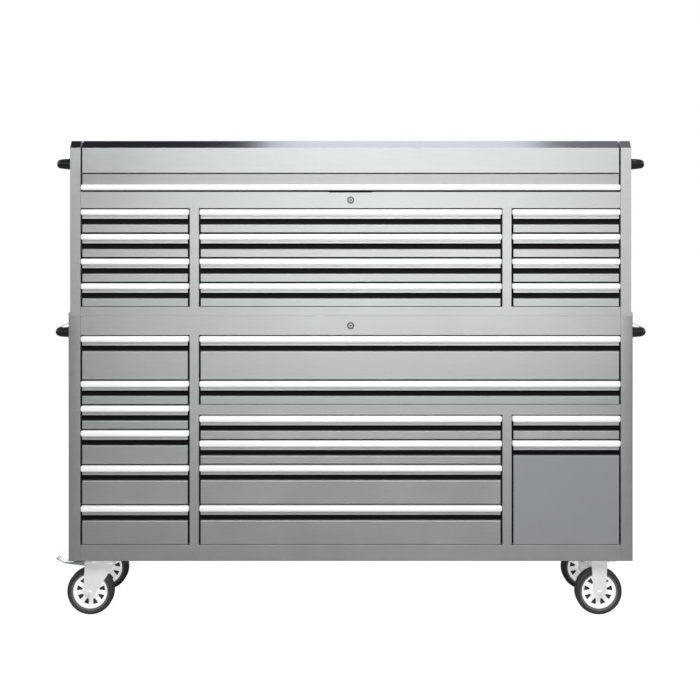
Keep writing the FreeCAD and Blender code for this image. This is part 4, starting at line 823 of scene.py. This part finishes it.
def handle(form, sign, node):
    """Bent tube: two tapered legs out of the panel and a straight grip between them, front to back."""
    low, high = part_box(node)
    foot, grip = (high[2] - low[2]) / 2, 15 * MM
    height = (low[2] + high[2]) / 2
    outer = high[0] - grip
    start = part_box(node.replace("side_handles", "shell"))[1][0]
    legs = (low[1] + foot, high[1] - foot)
    bend = 24 * MM
    middle = (legs[0] + legs[1]) / 2
    half = [(start - 1 * MM, legs[0], foot), (start + 6 * MM, legs[0], foot),
            (outer - bend - 4 * MM, legs[0], foot - 2.5 * MM)]
    for step in range(7):
        turn = math.pi / 2 * step / 6
        half.append((outer - bend + bend * math.sin(turn), legs[0] + bend - bend * math.cos(turn),
                     grip + 1.5 * MM * (1 - step / 6)))
    half += [(outer, legs[0] + 60 * MM, grip), (outer, middle - 60 * MM, grip)]
    path = half + [(x, 2 * middle - y, r) for x, y, r in reversed(half)]
    form.tube([(sign * x, y, height) for x, y, r in path], [r for x, y, r in path], steps=28)
    return [(sign * start, y, height) for y in legs]


for unit in ("cabinet", "chest"):
    node_name = unit + "_side_handles"
    bars, feet = Form(), []
    for side, sign in SIDES:
        feet += handle(bars, sign, node_name)
    piece(unit + "_handle_bars", bars, "root", node_name, [HANDLE], ease=0)
    collars = Form()
    for x, y, z in feet:
        way = 1 if x > 0 else -1
        span = sorted((0, way * 3 * MM))
        collars.disc_bar("x", (x, y, z), 23 * MM, *span, edge=1 * MM, steps=40)
    piece(unit + "_handle_collars", collars, "root", None, [PLASTIC], ease=0)


# ------------------------------------------------------------------ wheels

TREAD_RADIUS, RIM_RADIUS, HUB_RADIUS = 76.2 * MM, 56 * MM, 17 * MM
TREAD_HALF, HUB_HALF, WEB_HALF = 23 * MM, 27 * MM, 6 * MM
WINDOWS = 9


def tyre_section():
    """Closed section (radius, along) of a tyre: round shoulders, a shallow groove, a stepped side wall."""
    outer = [(RIM_RADIUS, TREAD_HALF - 5 * MM), (RIM_RADIUS + 6 * MM, TREAD_HALF - 3 * MM),
             (RIM_RADIUS + 7 * MM, TREAD_HALF - 1.5 * MM), (TREAD_RADIUS - 8 * MM, TREAD_HALF),
             (TREAD_RADIUS - 3 * MM, TREAD_HALF - 2 * MM), (TREAD_RADIUS - 0.8 * MM, TREAD_HALF - 6 * MM),
             (TREAD_RADIUS, TREAD_HALF - 10 * MM), (TREAD_RADIUS, 4 * MM), (TREAD_RADIUS - 1 * MM, 2.5 * MM)]
    return outer + [(radius, -along) for radius, along in reversed(outer)]


def rim_web(form, centre):
    """Web between hub and rim with nine rounded windows, by rings of points at matching angles."""
    low, high = 28 * MM, 47 * MM
    half_low, half_high = math.asin(2.8 / 28), math.asin(9.0 / 47)
    pitch = 2 * math.pi / WINDOWS
    rings = []
    for along in (-WEB_HALF, WEB_HALF):
        ring = []
        for k in range(WINDOWS):
            turn = math.pi / 2 + k * pitch
            for radius, arm in ((HUB_RADIUS - 1 * MM, 0), (low, 1), (high, 2), (RIM_RADIUS - 1 * MM, 3)):
                half = half_low if arm < 2 else half_high
                for side in (-1, 1):
                    u, v = radius * math.cos(turn + side * half), radius * math.sin(turn + side * half)
                    ring.append((centre[0] + u, centre[1] + along, centre[2] + v))
        rings.append(ring)
    faces = []
    size = WINDOWS * 8
    for base in (0, size):
        for k in range(WINDOWS):
            here, following = base + 8 * k, base + 8 * ((k + 1) % WINDOWS)
            faces.append((here, here + 1, here + 3, here + 2))
            faces.append((here + 4, here + 5, here + 7, here + 6))
            for arm in (0, 2, 4):
                faces.append((here + arm + 1, following + arm, following + arm + 2, here + arm + 3))
    for k in range(WINDOWS):
        here, following = 8 * k, 8 * ((k + 1) % WINDOWS)
        for a, b in ((here + 2, here + 3), (here + 3, here + 5), (here + 5, here + 4), (here + 4, here + 2),
                     (here, here + 1), (here + 1, following), (here + 6, here + 7),
                     (here + 7, following + 6)):
            faces.append((a, b, size + b, size + a))
    return form.add(rings[0] + rings[1], faces)


def wheel(node):
    low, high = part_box(node)
    centre = tuple((low[i] + high[i]) / 2 for i in range(3))
    tyre = Form().lathe("y", centre, tyre_section(), steps=96)
    count = len(tyre_section())
    for index in range(len(tyre.finish)):
        if index % count in (0, count - 2, count - 1):
            tyre.finish[index] = 1
    piece(node + "_tyre", tyre, node, node, [TYRE, SIDEWALL], ease=0, smooth=28)
    web = rim_web(Form(), centre)
    piece(node + "_web", web, node, node, [RIM], ease=0.0016, segments=3)
    backing = 1 * MM
    core = Form().lathe("y", centre, [(HUB_RADIUS, -backing), (RIM_RADIUS - 2 * MM, -backing),
                                      (RIM_RADIUS - 2 * MM, backing), (HUB_RADIUS, backing)], steps=48)
    piece(node + "_core", core, node, node, [PLASTIC], ease=0)
    barrel = Form()
    inner = RIM_RADIUS - 4 * MM
    barrel.lathe("y", centre, [(inner, -16 * MM), (RIM_RADIUS, -18.5 * MM),
                               (RIM_RADIUS, 18.5 * MM), (inner, 16 * MM)], steps=96)
    for way in (-1, 1):
        bore, flare = 6.4 * MM, HUB_RADIUS + 5 * MM
        lips = [(flare, way * WEB_HALF), (HUB_RADIUS + 4 * MM, way * 10 * MM), (HUB_RADIUS, way * 15 * MM),
                (HUB_RADIUS, way * HUB_HALF), (bore, way * HUB_HALF), (bore, way * 2 * MM),
                (flare, way * 2 * MM)]
        barrel.lathe("y", centre, lips, steps=48)
    piece(node + "_rim", barrel, node, node, [RIM], ease=0.0008)


WHEELS = [f"{end}_{side}_wheel" for end in ("front", "rear") for side in ("left", "right")]
for node_name in WHEELS:
    wheel(node_name)


# ------------------------------------------------------------------ bolts and rivets

def fasteners():
    """Hex bolts under the caster plates, and the rivets of both back panels."""
    trail, offset, bolt_x, bolt_y, plate = 40 * MM, -15 * MM, 44 * MM, 38 * MM, 6 * MM
    plate_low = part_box("cabinet_front_frame")[0][2]
    bolts = []
    for name in WHEELS:
        (x0, y0, _), (x1, y1, _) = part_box(name)
        middle = ((x0 + x1) / 2 + (trail if "left" in name else offset), (y0 + y1) / 2)
        for way_x in (-1, 1):
            for way_y in (-1, 1):
                bolts.append((middle[0] + way_x * bolt_x, middle[1] + way_y * bolt_y, plate_low - plate))
    heads("caster_plate_bolts", "root", bolts, "down", 6.5 * MM, 4.5 * MM, ZINC, "zinc_plate",
          sides=6, crown=0.93)
    reach, spacing, sunk = 0.84, 0.14, 0.9 * MM
    for unit in ("cabinet", "chest"):
        (_, _, low), (_, back, high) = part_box(unit + "_shell")
        rivets = []
        for k in range(13):
            x = -reach + spacing * k
            rivets += [(x, back - sunk, low + 18 * MM), (x, back - sunk, high - 45 * MM)]
        for k in range(1, 6):
            z = low + (high - low) * k / 6
            rivets += [(side * reach, back - sunk, z) for side in (LEFT, RIGHT)]
        heads(unit + "_back_rivets", "root", rivets, "back", 4 * MM, 0.85 * MM, ZINC, "zinc_plate",
              sides=14, crown=0.6)


fasteners()


# ------------------------------------------------------------------ studio and camera

def studio():
    world = bpy.data.worlds.new("studio")
    bpy.context.scene.world = world
    world.use_nodes = True
    tree = world.node_tree
    tree.nodes.clear()
    place = wire(tree, "ShaderNodeTexCoord").outputs["Generated"]
    height = wire(tree, "ShaderNodeSeparateXYZ", {0: place}).outputs[2]
    ramp = wire(tree, "ShaderNodeMapRange", {"Value": height, "From Min": -0.1, "From Max": 0.55,
                                             "To Min": 0.62, "To Max": 0.05}).outputs[0]
    seen = wire(tree, "ShaderNodeLightPath").outputs["Is Camera Ray"]
    around = wire(tree, "ShaderNodeBackground", {"Color": (0.96, 0.98, 1.0, 1), "Strength": ramp}).outputs[0]
    white = wire(tree, "ShaderNodeBackground", {"Color": (1, 1, 1, 1), "Strength": 1.0}).outputs[0]
    both = wire(tree, "ShaderNodeMixShader", {0: seen, 1: around, 2: white}).outputs[0]
    tree.links.new(both, wire(tree, "ShaderNodeOutputWorld").inputs[0])


def floor():
    mesh = bpy.data.meshes.new("studio_floor")
    reach = 30
    corners = [(-reach, -reach, 0), (reach, -reach, 0), (reach, reach, 0), (-reach, reach, 0)]
    mesh.from_pydata(corners, [], [(0, 1, 2, 3)])
    obj = bpy.data.objects.new("studio_floor", mesh)
    bpy.context.scene.collection.objects.link(obj)
    material = bpy.data.materials.new("pale floor")
    material.use_nodes = True
    tree = material.node_tree
    tree.nodes.clear()
    seen = wire(tree, "ShaderNodeLightPath").outputs["Is Camera Ray"]
    place = wire(tree, "ShaderNodeTexCoord").outputs["Object"]
    away = wire(tree, "ShaderNodeVectorMath", {0: place}, operation="LENGTH").outputs["Value"]
    paper = wire(tree, "ShaderNodeMapRange", {"Value": away, "From Min": 1.2, "From Max": 2.6,
                                              "To Min": 0.94, "To Max": 1.0}).outputs[0]
    white = wire(tree, "ShaderNodeEmission", {"Color": (1, 1, 1, 1), "Strength": paper}).outputs[0]
    soft = wire(tree, "ShaderNodeBsdfDiffuse", {"Color": (0.3, 0.3, 0.3, 1)}).outputs[0]
    shown = wire(tree, "ShaderNodeAddShader", {0: white, 1: soft}).outputs[0]
    both = wire(tree, "ShaderNodeMixShader", {0: seen, 1: soft, 2: shown}).outputs[0]
    tree.links.new(both, wire(tree, "ShaderNodeOutputMaterial").inputs[0])
    mesh.materials.append(material)


def softbox(name, place, aim, size, power, spread=math.pi):
    light = bpy.data.lights.new(name, "AREA")
    light.shape = "RECTANGLE"
    light.size, light.size_y = size
    light.energy = power
    light.spread = spread
    obj = bpy.data.objects.new(name, light)
    bpy.context.scene.collection.objects.link(obj)
    obj.location = place
    obj.rotation_euler = (Vector(aim) - Vector(place)).to_track_quat("-Z", "Y").to_euler()
    return obj


studio()
floor()
softbox("key over the front", (0.2, -2.7, 2.8), (0.05, -0.2, 1.15), (3.4, 1.2), 78)
softbox("front wall", (0.3, -5.0, 1.0), (0.3, -0.2, 0.9), (3.15, 1.25), 34)
softbox("strip above the lid", (0.23, -0.22, 3.3), (0.23, -0.2, 1.5), (1.25, 1.1), 19)
softbox("far strip", (1.35, -0.22, 3.3), (1.35, -0.2, 1.5), (0.95, 1.1), 2.6)
softbox("rear fill", (0.0, 4.0, 2.4), (0, 0.2, 0.9), (3.0, 2.0), 60)

LENS, SENSOR, CAMERA_HEIGHT, CAMERA_BACK, RISE, SLIP = 73, 36, 1.347, 4.6, -0.2083, -0.0009
view = bpy.data.cameras.new("view")
view.lens, view.sensor_width, view.shift_y, view.shift_x = LENS, SENSOR, RISE, SLIP
camera = bpy.data.objects.new("view", view)
camera.location = (0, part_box("cabinet_front_frame")[0][1] - CAMERA_BACK, CAMERA_HEIGHT)
camera.rotation_euler = (math.pi / 2, 0, 0)
bpy.context.scene.collection.objects.link(camera)
bpy.context.scene.camera = camera
bpy.context.scene.view_settings.view_transform = "Standard"
